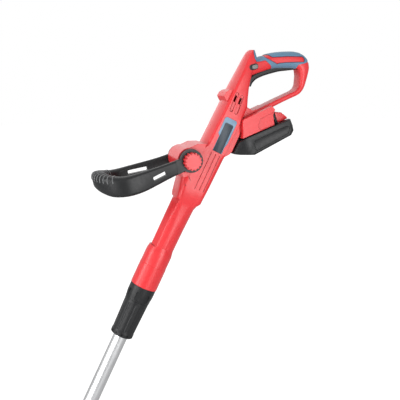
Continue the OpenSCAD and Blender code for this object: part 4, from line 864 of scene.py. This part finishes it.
def trackRun(middle, y):
    return closedRun([turnedPoint(middle, tracks["lean"], -across, y, along)
                      for along, across in stadiumLoop(*tracks["size"], tracks["steps"])])


def addShellLine(name, runs, tree, look, side, hand):
    shell = frame["nodes"][hand.lower() + "_housing"]
    values = {"shell": shell, "castAlong": (0.0, -float(side), 0.0), **look}
    growPiece(name + hand, runSeed(name + hand, runs), tree, values, "handle")


paintedShadeLine = makeShellLineTree("paintedShadeLine", finishes["deepRed"])
blueSeam = makeShellLineTree("blueSeam", finishes["deepBlue"])
for side, hand in ((-1, "Left"), (1, "Right")):
    away = side * shellLineStart
    panelRun = closedRun([shaftPoint(x, away, z) for x, z in panelEdge])
    trackRuns = [trackRun(middle, away) for middle in tracks["middles"]]
    dockRun = [dockPoint(ahead, away, up) for ahead, up in dockPanel]
    addShellLine("panelSeam", [panelRun], blueSeam, panelSeam, side, hand)
    # the dark red lines round the tracks and the dock's panel are painted shade along their recessed rims
    addShellLine("trackSeams", trackRuns, paintedShadeLine, shadeLineLook, side, hand)
    addShellLine("dockSeam", [dockRun], paintedShadeLine, shadeLineLook, side, hand)
print("small pieces placed")

softboxes = {
    "keyBox": {"place": (0.82, -2.0, 0.75), "aim": (0.35, 0, 0.75), "size": (0.9, 1.3), "power": 25.0},
    "fillBox": {"place": (-1.9, -0.5, 1.3), "aim": (0.3, 0, 0.75), "size": (0.8, 1.8), "power": 30.0},
    "sideBox": {"place": (-1.35, -1.25, 0.35), "aim": (0.25, 0, 0.7), "size": (0.6, 1.3), "power": 13.0},
    "topBox": {"place": (0.3, 0.3, 2.7), "aim": (0.3, 0, 0.7), "size": (1.6, 1.6), "power": 9.0},
    "backBox": {"place": (0.2, 2.0, 1.4), "aim": (0.3, 0, 0.75), "size": (1.5, 1.5), "power": 3.0},
}


def addSoftbox(name, box):
    data = bpy.data.lights.new(name, "AREA")
    data.shape = "RECTANGLE"
    data.size, data.size_y = box["size"]
    data.energy = box["power"]
    lamp = bpy.data.objects.new(name, data)
    lamp.visible_camera = False  # the camera may stand behind a box and look through it
    aimAt(lamp, box["place"], box["aim"])


for name, box in softboxes.items():
    addSoftbox(name, box)

# the air is white to the camera, in reflections and through clear things, and dimmer as a light
airStrength = {"seen": 1.0, "lighting": 0.42}
plainWhite = (1.0, 1.0, 1.0)


def makeWorld():
    world = bpy.data.worlds.new("studioAir")
    bpy.context.scene.world = world
    world.use_nodes = True
    tree = world.node_tree
    tree.nodes.clear()
    path = addNode(tree, "ShaderNodeLightPath", (-800, 200)).outputs
    seen = mathNode(tree, "MAXIMUM", path["Is Camera Ray"], path["Is Transmission Ray"])
    seen = mathNode(tree, "MAXIMUM", seen, path["Is Glossy Ray"])
    more = times(tree, seen, airStrength["seen"] - airStrength["lighting"])
    background = addNode(tree, "ShaderNodeBackground", (0, 0),
                         {"Color": plainWhite, "Strength": plus(tree, more, airStrength["lighting"])})
    addNode(tree, "ShaderNodeOutputWorld", (300, 0), {"Surface": background.outputs["Background"]})


# the floor glows a little for the camera, more towards its rim, so that it ends in the same white as the air
paleFloor = {"half": 14.0, "height": -0.0005, "colour": (0.78, 0.78, 0.78), "shadowShare": (0.30, 0.30, 0.30),
             "middle": (0.25, 0.0, 0.0), "glow": (0.80, 1.0), "reach": (0.55, 1.3)}


def makeFloorFinish():
    material = bpy.data.materials.new("paleFloor")
    material.use_nodes = True
    tree = material.node_tree
    tree.nodes.clear()
    seen = addNode(tree, "ShaderNodeLightPath", (-600, 300)).outputs["Is Camera Ray"]
    plain = addNode(tree, "ShaderNodeBsdfDiffuse", (-300, 100), {"Color": paleFloor["colour"]})
    shadowed = addNode(tree, "ShaderNodeBsdfDiffuse", (-300, -100), {"Color": paleFloor["shadowShare"]})
    feeds = {0: objectPlace(tree), 1: paleFloor["middle"]}
    reach = addNode(tree, "ShaderNodeVectorMath", (-700, -300), feeds, operation="DISTANCE").outputs["Value"]
    strength = rangeNode(tree, reach, *paleFloor["reach"], *paleFloor["glow"])
    glow = addNode(tree, "ShaderNodeEmission", (-300, -300), {"Strength": strength})
    lifted = addNode(tree, "ShaderNodeAddShader", (-50, -150), {0: shadowed.outputs[0], 1: glow.outputs[0]})
    mix = addNode(tree, "ShaderNodeMixShader", (200, 0), {0: seen, 1: plain.outputs[0], 2: lifted.outputs[0]})
    addNode(tree, "ShaderNodeOutputMaterial", (400, 0), {"Surface": mix.outputs[0]})
    return material


def makeFloor():
    half, height = paleFloor["half"], paleFloor["height"]
    corners = [(-half, -half, height), (half, -half, height), (half, half, height), (-half, half, height)]
    floor = pointPiece("paleFloor", corners, [(0, 1, 2, 3)])
    floor.data.materials.append(makeFloorFinish())


makeWorld()
makeFloor()
bpy.context.scene.view_settings.view_transform = "Standard"
print("light and floor placed")
